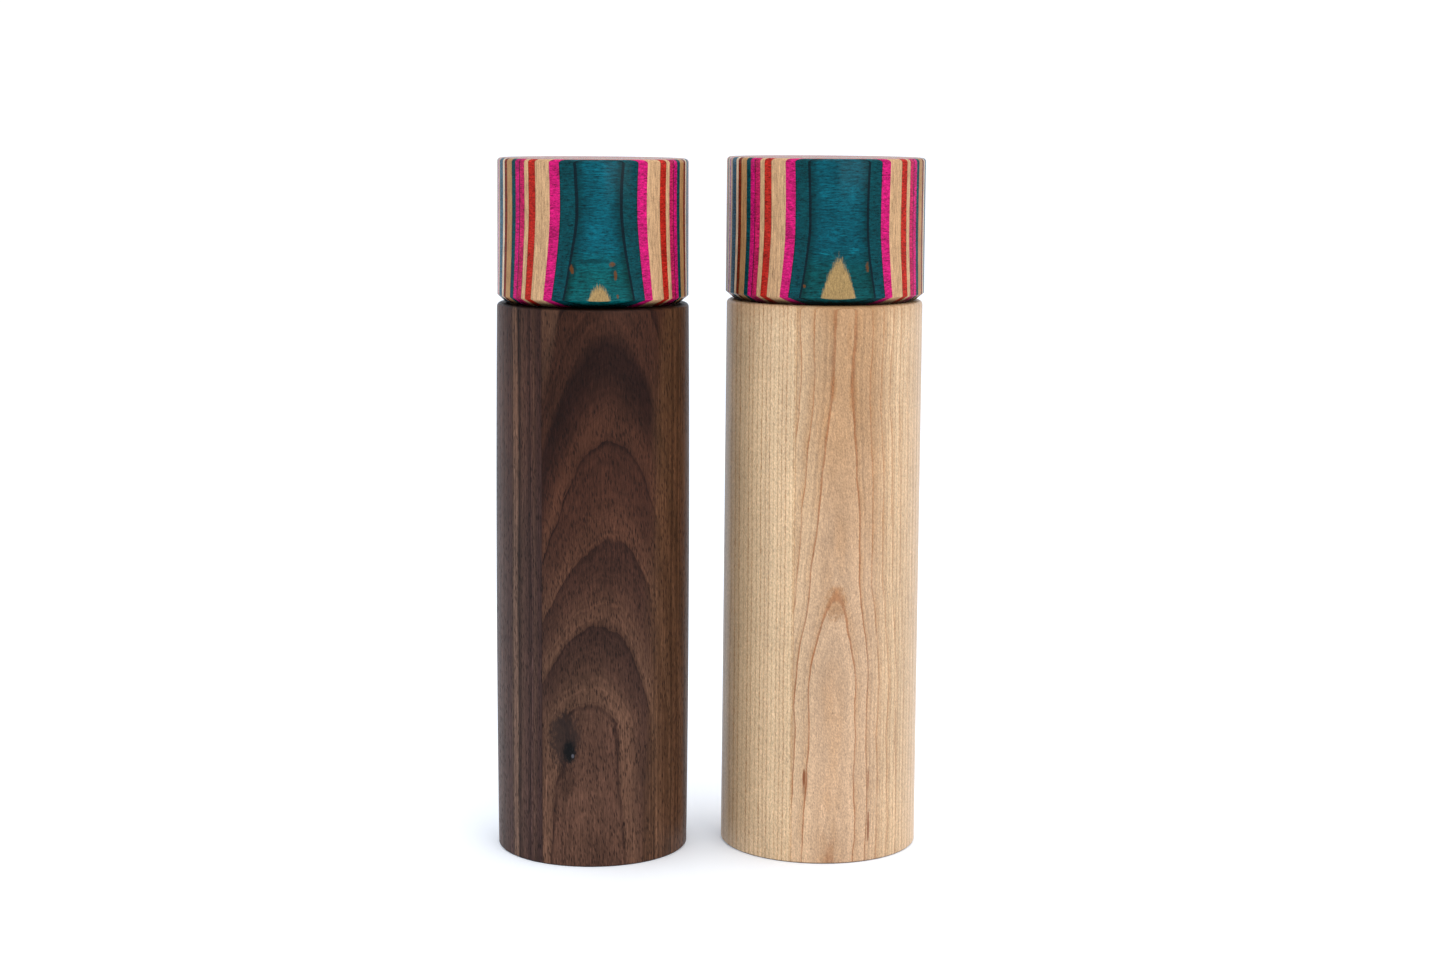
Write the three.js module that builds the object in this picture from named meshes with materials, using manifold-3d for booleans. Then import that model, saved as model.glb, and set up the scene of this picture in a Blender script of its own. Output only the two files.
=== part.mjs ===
/*
 * A matched pair of tall turned mills, one in walnut for pepper and one in maple for salt. Each has
 * a plain straight body, a flat-topped head turned from laminated veneer, and a ceramic grinder that
 * is let into the base and driven by a square shaft when the head is turned.
 *
 * Millimetres, +Z up. The origin lies on the table, in the middle of the pair's bounding box.
 * Each mill is built about its own axis, with its base at zero, and then placed.
 */
import * as THREE from 'three';
import { mergeVertices } from 'three/addons/utils/BufferGeometryUtils.js';
import Module from 'manifold-3d';

const wasm = await Module();
wasm.setup();

// ---------------------------------------------------------------- driving dimensions

const gap = 0.3; // clearance left between neighbouring pieces
const fineFacets = 40; // facets round the wooden parts
const facets = 36; // facets round the grinder's parts
const smallFacets = 12; // facets round screws and bushes
const overlap = 1.0; // how far a cutting or joined shape runs past the face that it meets

const spacing = 70.0; // between the two axes, left to right
const setback = 4.5; // the right-hand mill stands this much further back

const walnutMill = {
  name: 'walnut',
  height: 210.0,
  bodyHeight: 167.0,
  baseRadius: 29.0,
  shoulderRadius: 28.8,
  belly: 0.45,
  headBottomRadius: 28.7,
  headTopRadius: 28.55,
  bodyColour: 0x583c31,
};

const mapleMill = {
  name: 'maple',
  height: 210.7,
  bodyHeight: 168.0,
  baseRadius: 30.15,
  shoulderRadius: 29.65,
  belly: 0.0,
  headBottomRadius: 30.0,
  headTopRadius: 29.9,
  bodyColour: 0xdcae7c,
};

// The turned wood.
const footBevel = 0.4;
const shoulderRound = 1.2;
const crownRound = 1.1;
const jointBevelWidth = 2.5;
const jointBevelHeight = 2.1;
const recess = { radius: 24.4, top: 6.0 };
const bore = { radius: 19.0, top: 42.4 };
const hopperRadius = 14.0;
const socket = { radius: 17.0, depth: 14.0 };
const tenon = { radius: 16.6, length: 11.8 };
const insertHole = { radius: 11.0, depth: 41.0 };

// The plate that closes the recess, and the screws through it.
const plate = { bottom: 1.0, top: 2.8, inner: 14.4, outer: recess.radius - gap };
const plateScrew = {
  pitchRadius: 21.3,
  headRadius: 2.0,
  shankRadius: 1.1,
  bottom: 1.3,
  coneTop: 2.3,
  tip: 14.0,
  slot: { length: 2.4, width: 0.5, depth: 0.6 },
};

// The housing, a tube with a flange below and a two-spoked spider above.
const housing = {
  bottom: plate.top + gap,
  flangeTop: recess.top - gap,
  top: bore.top - gap - 0.1,
  outer: bore.radius - gap,
  inner: 16.6,
  shoulder: 30.0,
  throat: 14.2,
  keyway: { radius: 17.4, width: 3.2 },
  hub: { inner: 5.9, outer: 7.4, bottom: 36.0 },
  spokeWidth: 2.4,
};
housing.keyway.top = housing.shoulder - 4;

// The adjuster: turning it lifts the ring on two ramps.
const adjuster = {
  bottom: 1.5,
  inner: 10.8,
  gripOuter: plate.inner - gap,
  flangeOuter: housing.inner - 0.4,
  flangeBottom: housing.bottom,
  flangeTop: 5.1,
  dishTop: 4.6,
  scallop: 0.45,
  scallops: 12,
};
const ramp = { inner: 14.1, rise: 1.2, run: 150, end: 160, foot: 170, count: 2 };

// The ring carrier, the burr ring in it, and the spring above it.
const carrier = { inner: 14.5, outer: 16.2, lipInner: 13.0, bottom: 6.7, lipTop: 8.3, top: 20.0 };
const carrierFoot = { width: 3.4, inner: 14.3, outer: 16.0 };
const carrierKey = { inner: 15.5, outer: 17.1, width: 2.6, bottom: 9.0, top: 17.0 };
const burrRing = { outer: 14.2, bottom: 8.6, top: 20.0, mouthRadius: 12.7, mouthDepth: 0.8 };
const spring = { radius: 15.35, wire: 1.0, turns: 5, closeness: 0.3, sides: 6, stepsPerTurn: 9 };

// The rotor, held on the shaft by a washer and a screw.
const rotor = { bottom: 8.0, top: 28.2, widest: 9.2, shoulder: 19.5 };
const rotorRadius = { bottom: 10.6, widest: 11.5, shoulder: 9.4, feed: 8.5, top: 6.8 };
const rotorFeedHeight = 23.5;

// The teeth of both burrs: how many, how deep, and how far they twist in a millimetre of height.
const rotorTeeth = { count: 12, depth: 0.8, feedDepth: 2.2 };
const ringTeeth = { count: 18, depth: 0.7, clearance: 0.38 };
const twistPerHeight = 0.02;
const washer = { bottom: 6.7, top: rotor.bottom - gap, inner: 1.9, outer: 5.2 };
const rotorScrew = {
  headBottom: 4.7,
  headTop: washer.bottom - gap,
  headRadius: 3.0,
  headEdge: 0.6,
  shankRadius: 1.5,
  tip: 21.0,
  slot: { length: 3.2, width: 0.7, depth: 0.9 },
};

// The shaft: square where it drives, round where it turns in the bush.
const shaft = {
  bottom: 11.0,
  top: 190.0,
  halfWidth: 3.0,
  journalRadius: 4.3,
  journalBottom: rotor.top + gap,
  journalTop: 48.0,
  collar: { radius: 6.0, bottom: 33.9, top: 35.4 },
  groove: { radius: 3.5, bottom: 43.4, top: 44.8 },
  screwHole: { radius: 1.8, top: 23.0 },
  tipChamfer: 1.2,
};
const bush = { inner: 4.6, outer: 5.6, bottom: 35.7, flangeRadius: 7.0, flangeThickness: 1.0 };
const circlip = { inner: 3.8, outer: 6.1, bottom: 43.6, thickness: 0.8, opening: 80 };

// The socket in the head that takes the shaft, with a spring clip that grips it.
const insert = { radius: 10.7, waist: 9.6, length: 40.0, barbs: 5, halfWidth: 3.5 };
const clipSlot = { halfWidth: 4.2, halfDepth: 2.6, bottom: 22.0, top: 37.6 };
const clip = { strip: 0.5, halfWidth: 3.8, depth: 4.4, bottom: 22.4, top: 37.2 };

// ---------------------------------------------------------------- solids

const degrees = Math.PI / 180;

/** Keeps only the positions, joins the shared vertices and drops the triangles with no area. */
function closed(geometry) {
  geometry.deleteAttribute('normal');
  geometry.deleteAttribute('uv');
  const merged = mergeVertices(geometry, 1e-4);
  const corners = merged.getIndex().array;
  const kept = [];
  for (let i = 0; i < corners.length; i += 3) {
    const [a, b, c] = corners.slice(i, i + 3);
    if (a !== b && b !== c && c !== a) {
      kept.push(a, b, c);
    }
  }
  merged.setIndex(kept);
  return merged;
}

function toSolid(geometry) {
  return new wasm.Manifold(new wasm.Mesh({
    numProp: 3,
    vertProperties: new Float32Array(geometry.getAttribute('position').array),
    triVerts: new Uint32Array(geometry.getIndex().array),
  }));
}

function toGeometry(solid) {
  const mesh = solid.getMesh();
  const geometry = new THREE.BufferGeometry();
  geometry.setAttribute('position', new THREE.BufferAttribute(mesh.vertProperties, 3));
  geometry.setIndex(new THREE.BufferAttribute(mesh.triVerts, 1));
  return geometry;
}

function join(first, ...others) {
  return toGeometry(others.reduce((whole, other) => whole.add(toSolid(other)), toSolid(first)));
}

function cut(first, ...tools) {
  return toGeometry(tools.reduce((whole, tool) => whole.subtract(toSolid(tool)), toSolid(first)));
}

/** A solid of revolution about Z from [radius, height] points, anticlockwise round the section. */
function turned(profile, sides) {
  const points = profile.map(([radius, height]) => new THREE.Vector2(radius, height));
  const geometry = new THREE.LatheGeometry(points, sides);
  geometry.rotateX(Math.PI / 2);
  return closed(geometry);
}

/** A ring of rectangular section. */
function ring(inner, outer, bottom, top, sides) {
  return turned([[inner, bottom], [outer, bottom], [outer, top], [inner, top], [inner, bottom]], sides);
}

/** A solid cylinder. */
function rod(radius, bottom, top, sides) {
  return turned([[0, bottom], [radius, bottom], [radius, top], [0, top]], sides);
}

/** A bar of square section, flat side towards X, with a chamfer round its top end. */
function squareBar(halfWidth, bottom, top, chamfer = 0) {
  const corner = halfWidth * Math.SQRT2;
  const profile = [[0, bottom], [corner, bottom], [corner, top - chamfer]];
  if (chamfer > 0) {
    profile.push([corner - chamfer, top]);
  }
  profile.push([0, top]);
  return turned(profile, 4).rotateZ(Math.PI / 4);
}

/** A box from its lowest corner to its highest. */
function block(low, high) {
  const size = high.map((value, axis) => value - low[axis]);
  const geometry = new THREE.BoxGeometry(...size);
  geometry.translate(...low.map((value, axis) => value + size[axis] / 2));
  return closed(geometry);
}

/** A box that reaches outwards along -Y or +Y from one distance from the axis to another. */
function blockBeside(side, { inner, outer, width }, bottom, top) {
  const [near, far] = side > 0 ? [inner, outer] : [-outer, -inner];
  return block([-width / 2, near, bottom], [width / 2, far, top]);
}

function middleOf(low, high) {
  return (low + high) / 2;
}

/** Points of a quarter round, from facing outwards to facing up. */
function quarterRound(radius, height, size, steps) {
  const points = [];
  for (let i = 0; i <= steps; i += 1) {
    const angle = (i / steps) * (Math.PI / 2);
    points.push([radius - size + size * Math.cos(angle), height - size + size * Math.sin(angle)]);
  }
  return points;
}

/**
 * Cuts teeth into a turned solid. reliefAt gives how far the root of a tooth stands from its tip,
 * outwards, at a vertex of that radius and height; twistAt gives the turn of the teeth there.
 */
function toothed(geometry, sides, teeth, reliefAt, twistAt) {
  const position = geometry.getAttribute('position');
  const perTooth = sides / teeth;
  for (let i = 0; i < position.count; i += 1) {
    const [x, y, height] = [position.getX(i), position.getY(i), position.getZ(i)];
    const radius = Math.hypot(x, y);
    const angle = Math.atan2(y, x);
    const side = Math.round((angle / (2 * Math.PI)) * sides) + sides;
    const share = (side % perTooth) / (perTooth - 1);
    const moved = radius + reliefAt(radius, height) * share;
    const turnedAngle = angle + twistAt(radius, height);
    position.setXY(i, moved * Math.cos(turnedAngle), moved * Math.sin(turnedAngle));
  }
  return geometry;
}

// ---------------------------------------------------------------- wooden parts

function bodyRadius(mill, height) {
  const share = height / mill.bodyHeight;
  const taper = mill.baseRadius + (mill.shoulderRadius - mill.baseRadius) * share;
  return taper + mill.belly * 4 * share * (1 - share);
}

function bodyProfile(mill) {
  const steps = 4;
  const sideTop = mill.bodyHeight - shoulderRound;
  const profile = [[recess.radius, 0], [mill.baseRadius - footBevel, 0]];
  for (let i = 0; i < steps; i += 1) {
    const height = footBevel + ((sideTop - footBevel) * i) / steps;
    profile.push([bodyRadius(mill, height), height]);
  }
  profile.push(...quarterRound(mill.shoulderRadius, mill.bodyHeight, shoulderRound, 3));
  profile.push([socket.radius, mill.bodyHeight]);
  profile.push([socket.radius, mill.bodyHeight - socket.depth]);
  profile.push([hopperRadius, mill.bodyHeight - socket.depth]);
  profile.push([hopperRadius, bore.top]);
  profile.push([bore.radius, bore.top]);
  profile.push([bore.radius, recess.top]);
  profile.push([recess.radius, recess.top]);
  profile.push([recess.radius, 0]);
  return profile;
}

/** The two places of the plate screws, either side of the axis. */
function atPlateScrews(makeTool) {
  return [-1, 1].map((side) => makeTool().translate(side * plateScrew.pitchRadius, 0, 0));
}

function body(mill) {
  const pilotHole = () => rod(
    plateScrew.shankRadius + gap, recess.top - overlap, plateScrew.tip + gap, smallFacets,
  );
  return cut(turned(bodyProfile(mill), fineFacets), ...atPlateScrews(pilotHole));
}

/** The levels of the head and of the insert in it, which follow the height of the body. */
function headLevels(mill) {
  const underside = mill.bodyHeight + gap;
  const tenonBottom = underside - tenon.length;
  return {
    underside,
    tenonBottom,
    holeTop: tenonBottom + insertHole.depth,
    insertBottom: tenonBottom + gap,
  };
}

function head(mill) {
  const { underside, tenonBottom, holeTop } = headLevels(mill);
  return turned([
    [0, holeTop],
    [insertHole.radius, holeTop],
    [insertHole.radius, tenonBottom],
    [tenon.radius, tenonBottom],
    [tenon.radius, underside],
    [mill.headBottomRadius - jointBevelWidth, underside],
    [mill.headBottomRadius, underside + jointBevelHeight],
    ...quarterRound(mill.headTopRadius, mill.height, crownRound, 3),
    [0, mill.height],
  ], fineFacets);
}

// ---------------------------------------------------------------- the head's socket

function headInsert(mill) {
  const { insertBottom } = headLevels(mill);
  const profile = [[0, 0], [insert.radius, 0]];
  const pitch = insert.length / insert.barbs;
  for (let i = 0; i < insert.barbs; i += 1) {
    profile.push([insert.radius, pitch * (i + 0.25)]);
    profile.push([insert.waist, pitch * (i + 0.4)]);
    if (i < insert.barbs - 1) {
      profile.push([insert.radius, pitch * (i + 1)]);
    }
  }
  profile.push([insert.waist, insert.length], [0, insert.length]);
  const slot = block(
    [-clipSlot.halfWidth, -clipSlot.halfDepth, clipSlot.bottom],
    [clipSlot.halfWidth, clipSlot.halfDepth, clipSlot.top],
  );
  const hole = squareBar(insert.halfWidth, -overlap, clipSlot.top);
  return cut(turned(profile, smallFacets), hole, slot).translate(0, 0, insertBottom);
}

/** A strip bent into an arch over the end of the shaft, its legs either side of the shaft. */
function insertClip(mill) {
  const { insertBottom } = headLevels(mill);
  const inner = clip.halfWidth - clip.strip;
  const outline = new THREE.Shape([
    new THREE.Vector2(-clip.halfWidth, clip.bottom),
    new THREE.Vector2(-inner, clip.bottom),
    new THREE.Vector2(-inner, clip.top - clip.strip),
    new THREE.Vector2(inner, clip.top - clip.strip),
    new THREE.Vector2(inner, clip.bottom),
    new THREE.Vector2(clip.halfWidth, clip.bottom),
    new THREE.Vector2(clip.halfWidth, clip.top),
    new THREE.Vector2(-clip.halfWidth, clip.top),
  ]);
  const geometry = new THREE.ExtrudeGeometry(outline, { depth: clip.depth, bevelEnabled: false });
  geometry.rotateX(Math.PI / 2);
  geometry.translate(0, clip.depth / 2, insertBottom);
  return closed(geometry);
}

// ---------------------------------------------------------------- drive

function driveShaft() {
  const { journalRadius, collar, groove } = shaft;
  const journal = turned([
    [0, shaft.journalBottom],
    [journalRadius, shaft.journalBottom],
    [journalRadius, collar.bottom],
    [collar.radius, collar.bottom],
    [collar.radius, collar.top],
    [journalRadius, collar.top],
    [journalRadius, groove.bottom],
    [groove.radius, groove.bottom],
    [groove.radius, groove.top],
    [journalRadius, groove.top],
    [journalRadius, shaft.journalTop],
    [0, shaft.journalTop],
  ], smallFacets);
  const lower = squareBar(shaft.halfWidth, shaft.bottom, shaft.journalBottom + overlap);
  const upper = squareBar(shaft.halfWidth, shaft.journalTop - overlap, shaft.top, shaft.tipChamfer);
  const screwHole = rod(shaft.screwHole.radius, shaft.bottom - overlap, shaft.screwHole.top, smallFacets);
  return cut(join(journal, lower, upper), screwHole);
}

function shaftBush() {
  const flangeBottom = housing.top + gap;
  const top = flangeBottom + bush.flangeThickness;
  return turned([
    [bush.inner, bush.bottom],
    [bush.outer, bush.bottom],
    [bush.outer, flangeBottom],
    [bush.flangeRadius, flangeBottom],
    [bush.flangeRadius, top],
    [bush.inner, top],
    [bush.inner, bush.bottom],
  ], smallFacets);
}

/** An open retaining ring in the shaft's groove, just above the bush. */
function shaftCirclip() {
  const from = (circlip.opening / 2) * degrees;
  const to = 2 * Math.PI - from;
  const outline = new THREE.Shape();
  outline.absarc(0, 0, circlip.outer, from, to, false);
  outline.absarc(0, 0, circlip.inner, to, from, true);
  const options = { depth: circlip.thickness, bevelEnabled: false, curveSegments: smallFacets };
  return closed(new THREE.ExtrudeGeometry(outline, options).translate(0, 0, circlip.bottom));
}

/** Radius of the rotor's tooth tips at a height on its grinding cone. */
function rotorTip(height) {
  const share = (height - rotor.widest) / (rotor.shoulder - rotor.widest);
  return rotorRadius.widest + (rotorRadius.shoulder - rotorRadius.widest) * share;
}

function rotorBurr() {
  const middle = middleOf(rotor.widest, rotor.shoulder);
  const profile = [
    [0, rotor.bottom],
    [rotorRadius.bottom, rotor.bottom],
    [rotorRadius.widest, rotor.widest],
    [rotorTip(middle), middle],
    [rotorRadius.shoulder, rotor.shoulder],
    [rotorRadius.feed, rotorFeedHeight],
    [rotorRadius.top, rotor.top],
    [0, rotor.top],
  ];
  const { depth, feedDepth } = rotorTeeth;
  const relief = (radius, height) => {
    if (radius < rotorRadius.top / 2) {
      return 0;
    }
    const share = Math.max(0, (height - rotor.shoulder) / (rotor.top - rotor.shoulder));
    return -(depth + (feedDepth - depth) * share);
  };
  const twist = (radius, height) => (height - rotor.bottom) * twistPerHeight;
  const cone = toothed(turned(profile, facets), facets, rotorTeeth.count, relief, twist);
  return cut(cone, squareBar(shaft.halfWidth + gap, rotor.bottom - overlap, rotor.top + overlap));
}

function rotorWasher() {
  return ring(washer.inner, washer.outer, washer.bottom, washer.top, smallFacets);
}

/** Two crossed slots for a screwdriver, cut upwards from the underside of a screw head. */
function driverSlots(bottom, { length, width, depth }) {
  const low = bottom - depth;
  const high = bottom + depth;
  return [
    block([-length / 2, -width / 2, low], [length / 2, width / 2, high]),
    block([-width / 2, -length / 2, low], [width / 2, length / 2, high]),
  ];
}

function rotorScrewSolid() {
  const { headBottom, headTop, headRadius, headEdge, shankRadius, tip, slot } = rotorScrew;
  const screw = turned([
    [0, headBottom],
    [headRadius - headEdge, headBottom],
    [headRadius, headBottom + headEdge],
    [headRadius, headTop],
    [shankRadius, headTop],
    [shankRadius, tip - shankRadius],
    [shankRadius / 2, tip],
    [0, tip],
  ], smallFacets);
  return cut(screw, ...driverSlots(headBottom, slot));
}

// ---------------------------------------------------------------- grinder

function burrRingSolid() {
  const rowAt = (height) => [rotorTip(height) + ringTeeth.clearance, height];
  const mouthBottom = burrRing.top - burrRing.mouthDepth;
  const middle = middleOf(burrRing.bottom, mouthBottom);
  const profile = [
    rowAt(burrRing.bottom),
    [burrRing.outer, burrRing.bottom],
    [burrRing.outer, burrRing.top],
    [burrRing.mouthRadius, burrRing.top],
    rowAt(mouthBottom),
    rowAt(middle),
    rowAt(burrRing.bottom),
  ];
  const teethTop = middleOf(mouthBottom, burrRing.top);
  const onTeeth = (radius, height) => radius < burrRing.mouthRadius && height < teethTop;
  const relief = (radius, height) => (onTeeth(radius, height) ? ringTeeth.depth : 0);
  const twist = (radius, height) => {
    return onTeeth(radius, height) ? (burrRing.bottom - height) * twistPerHeight : 0;
  };
  return toothed(turned(profile, facets), facets, ringTeeth.count, relief, twist);
}

function ringCarrier() {
  const shell = turned([
    [carrier.lipInner, carrier.bottom],
    [carrier.outer, carrier.bottom],
    [carrier.outer, carrier.top],
    [carrier.inner, carrier.top],
    [carrier.inner, carrier.lipTop],
    [carrier.lipInner, carrier.lipTop],
    [carrier.lipInner, carrier.bottom],
  ], facets);
  const additions = [-1, 1].flatMap((side) => [
    blockBeside(side, carrierFoot, adjuster.flangeTop + gap, carrier.lipTop),
    blockBeside(side, carrierKey, carrierKey.bottom, carrierKey.top),
  ]);
  return join(shell, ...additions);
}

/** Centre line of a compression spring whose end turns lie closer than its middle turns. */
class SpringLine extends THREE.Curve {
  getPoint(share, target = new THREE.Vector3()) {
    const low = carrier.top + gap + spring.wire / 2;
    const high = housing.shoulder - gap - spring.wire / 2;
    const eased = share - (spring.closeness * Math.sin(2 * Math.PI * share)) / (2 * Math.PI);
    const angle = share * spring.turns * 2 * Math.PI;
    return target.set(
      spring.radius * Math.cos(angle),
      spring.radius * Math.sin(angle),
      low + (high - low) * eased,
    );
  }
}

function ringSpring() {
  const section = new THREE.Shape();
  section.absarc(0, 0, spring.wire / 2, 0, 2 * Math.PI, false);
  return closed(new THREE.ExtrudeGeometry(section, {
    extrudePath: new SpringLine(),
    steps: spring.turns * spring.stepsPerTurn,
    curveSegments: spring.sides / 2,
    bevelEnabled: false,
  }));
}

function millHousing() {
  const { outer, inner, shoulder, throat, hub, keyway, spokeWidth } = housing;
  const tube = turned([
    [inner, housing.bottom],
    [plate.outer, housing.bottom],
    [plate.outer, housing.flangeTop],
    [outer, housing.flangeTop],
    [outer, housing.top],
    [throat, housing.top],
    [throat, shoulder],
    [inner, shoulder],
    [inner, housing.bottom],
  ], facets);
  const hubRing = ring(hub.inner, hub.outer, hub.bottom, housing.top, smallFacets);
  const spoke = { inner: hub.outer - overlap, outer: throat + overlap, width: spokeWidth };
  const spokes = [-1, 1].map((side) => {
    return blockBeside(side, spoke, hub.bottom, housing.top).rotateZ(Math.PI / 2);
  });
  const keyways = block(
    [-keyway.width / 2, -keyway.radius, housing.flangeTop],
    [keyway.width / 2, keyway.radius, keyway.top],
  );
  const screwHole = () => rod(
    plateScrew.shankRadius + gap, housing.bottom - overlap, housing.flangeTop + overlap, smallFacets,
  );
  return cut(join(tube, hubRing, ...spokes), keyways, ...atPlateScrews(screwHole));
}

/**
 * Height of the ramps on the adjuster, at an angle about the axis: two equal rises in a turn. Each
 * rises for its run, stays level to its end, and has dropped away again by the foot of the next.
 */
function rampHeight(angle) {
  const period = 360 / ramp.count;
  const fromFoot = 90 - angle / degrees;
  const along = ((fromFoot % period) + period) % period;
  return along > middleOf(ramp.end, ramp.foot) ? 0 : ramp.rise * Math.min(1, along / ramp.run);
}

function adjusterKnob() {
  const { bottom, inner, gripOuter, flangeOuter, flangeBottom, flangeTop, dishTop } = adjuster;
  const geometry = turned([
    [inner, bottom],
    [gripOuter, bottom],
    [gripOuter, flangeBottom],
    [flangeOuter, flangeBottom],
    [flangeOuter, flangeTop],
    [ramp.inner, flangeTop],
    [ramp.inner - gap, dishTop],
    [inner, dishTop],
    [inner, bottom],
  ], facets);
  const position = geometry.getAttribute('position');
  for (let i = 0; i < position.count; i += 1) {
    if (position.getZ(i) > middleOf(dishTop, flangeTop)) {
      const angle = Math.atan2(position.getY(i), position.getX(i));
      position.setZ(i, flangeTop + rampHeight(angle));
    }
  }
  const scallopAt = (radius) => (radius < middleOf(inner, ramp.inner) ? adjuster.scallop : 0);
  return toothed(geometry, facets, adjuster.scallops, scallopAt, () => 0);
}

function retainerPlate() {
  const countersink = () => turned([
    [0, plate.bottom - overlap],
    [plateScrew.headRadius + gap, plate.bottom - overlap],
    [plateScrew.headRadius + gap, plateScrew.bottom],
    [plateScrew.shankRadius + gap, plateScrew.coneTop],
    [plateScrew.shankRadius + gap, plate.top + overlap],
    [0, plate.top + overlap],
  ], smallFacets);
  const disc = ring(plate.inner, plate.outer, plate.bottom, plate.top, facets);
  return cut(disc, ...atPlateScrews(countersink));
}

function plateScrewSolid(side) {
  const { headRadius, shankRadius, bottom, coneTop, tip, slot, pitchRadius } = plateScrew;
  const screw = turned([
    [0, bottom],
    [headRadius, bottom],
    [shankRadius, coneTop],
    [shankRadius, tip - 2 * shankRadius],
    [0, tip],
  ], smallFacets);
  return cut(screw, ...driverSlots(bottom, slot)).translate(side * pitchRadius, 0, 0);
}

// ---------------------------------------------------------------- assembly

const colouredVeneer = { color: 0x7d4a5c, roughness: 0.2, metalness: 0.0 };
const whitePlastic = { color: 0xe9e7e1, roughness: 0.45, metalness: 0.0 };
const blackPlastic = { color: 0x1d1d1f, roughness: 0.5, metalness: 0.0 };
const ceramic = { color: 0xf1efe9, roughness: 0.35, metalness: 0.0 };
const steel = { color: 0xb9bbbd, roughness: 0.3, metalness: 1.0 };
const aluminium = { color: 0xc9cbcd, roughness: 0.35, metalness: 1.0 };

function buildMill(mill) {
  const bodyWood = { color: mill.bodyColour, roughness: 0.35, metalness: 0.0 };
  const pieces = [
    ['body', body(mill), bodyWood],
    ['head', head(mill), colouredVeneer],
    ['head_insert', headInsert(mill), whitePlastic],
    ['insert_clip', insertClip(mill), steel],
    ['drive_shaft', driveShaft(), aluminium],
    ['shaft_bush', shaftBush(), whitePlastic],
    ['shaft_circlip', shaftCirclip(), steel],
    ['rotor_burr', rotorBurr(), ceramic],
    ['rotor_washer', rotorWasher(), steel],
    ['rotor_screw', rotorScrewSolid(), steel],
    ['burr_ring', burrRingSolid(), ceramic],
    ['ring_carrier', ringCarrier(), blackPlastic],
    ['ring_spring', ringSpring(), steel],
    ['grinder_housing', millHousing(), blackPlastic],
    ['adjuster_knob', adjusterKnob(), blackPlastic],
    ['retainer_plate', retainerPlate(), blackPlastic],
    ['plate_screw_left', plateScrewSolid(-1), steel],
    ['plate_screw_right', plateScrewSolid(1), steel],
  ];
  const group = new THREE.Group();
  for (const [name, geometry, finish] of pieces) {
    const mesh = new THREE.Mesh(geometry, new THREE.MeshStandardMaterial(finish));
    mesh.name = `${mill.name}_${name}`;
    group.add(mesh);
  }
  return group;
}

/** Where each mill stands, so that the pair's bounding box is centred on the origin. */
function standingPlaces() {
  const widest = (mill) => Math.max(...bodyProfile(mill).map(([radius]) => radius));
  const [left, right] = [widest(walnutMill), widest(mapleMill)];
  const middleX = (spacing + right - left) / 2;
  const middleY = (Math.min(-left, setback - right) + Math.max(left, setback + right)) / 2;
  return [[-middleX, -middleY], [spacing - middleX, setback - middleY]];
}

const pair = new THREE.Group();
[walnutMill, mapleMill].forEach((mill, i) => {
  const group = buildMill(mill);
  const [x, y] = standingPlaces()[i];
  group.position.set(x, y, 0);
  pair.add(group);
});

export default pair;
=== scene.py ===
"""A matched pair of tall turned mills, one walnut and one maple, with heads of laminated coloured veneer.

Lengths are millimetres from a mill's own base and axis until a mesh is made. Every mesh is in metres.
"""

import math

import bmesh
import bpy
import numpy as np
from mathutils import Matrix, Vector


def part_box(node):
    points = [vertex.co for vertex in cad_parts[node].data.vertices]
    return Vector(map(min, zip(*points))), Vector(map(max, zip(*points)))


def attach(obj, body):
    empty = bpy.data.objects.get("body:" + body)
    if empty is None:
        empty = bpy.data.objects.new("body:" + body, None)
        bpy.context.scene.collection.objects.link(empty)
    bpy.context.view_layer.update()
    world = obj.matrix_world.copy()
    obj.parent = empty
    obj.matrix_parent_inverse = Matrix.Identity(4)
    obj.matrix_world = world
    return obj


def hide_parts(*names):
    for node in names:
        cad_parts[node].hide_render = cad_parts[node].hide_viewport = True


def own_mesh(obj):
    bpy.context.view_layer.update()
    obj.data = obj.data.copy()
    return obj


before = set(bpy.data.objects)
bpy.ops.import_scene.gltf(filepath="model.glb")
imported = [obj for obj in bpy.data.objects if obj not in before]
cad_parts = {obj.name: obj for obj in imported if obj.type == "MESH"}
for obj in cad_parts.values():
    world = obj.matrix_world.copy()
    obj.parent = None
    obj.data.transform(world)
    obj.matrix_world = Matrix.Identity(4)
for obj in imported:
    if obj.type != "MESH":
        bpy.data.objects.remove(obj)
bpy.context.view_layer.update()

MM = 0.001
FULL = 2 * math.pi

# ---------------------------------------------------------------- camera, lights and floor

CAMERA_PLACE = (-0.01445, -0.75407, 0.22406)
CAMERA_PITCH = math.radians(8.438)
CAMERA_YAW = math.radians(1.405)
CAMERA_ROLL = math.radians(0.457)
CAMERA_LENS = 62.18


def add_object(name, data):
    made = bpy.data.objects.new(name, data)
    bpy.context.scene.collection.objects.link(made)
    return made


def add_camera():
    data = bpy.data.cameras.new("camera")
    data.lens = CAMERA_LENS
    data.sensor_width = 36.0
    data.clip_start = 0.01
    camera = add_object("camera", data)
    turn = Matrix.Rotation(-CAMERA_YAW, 4, "Z") @ Matrix.Rotation(math.pi / 2 - CAMERA_PITCH, 4, "X")
    roll = Matrix.Rotation(CAMERA_ROLL, 4, "Z")
    camera.matrix_world = Matrix.Translation(CAMERA_PLACE) @ turn @ roll
    bpy.context.scene.camera = camera


def add_area_light(name, place, side, watts, colour):
    """A square lamp that faces the middle of the mills."""
    data = bpy.data.lights.new(name, "AREA")
    data.shape = "RECTANGLE"
    data.size = data.size_y = side
    data.energy = watts
    data.color = colour
    light = add_object(name, data)
    light.location = place
    middle = Vector((0.0, 0.0, 0.1))
    light.rotation_euler = (middle - Vector(place)).to_track_quat("-Z", "Y").to_euler()


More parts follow.
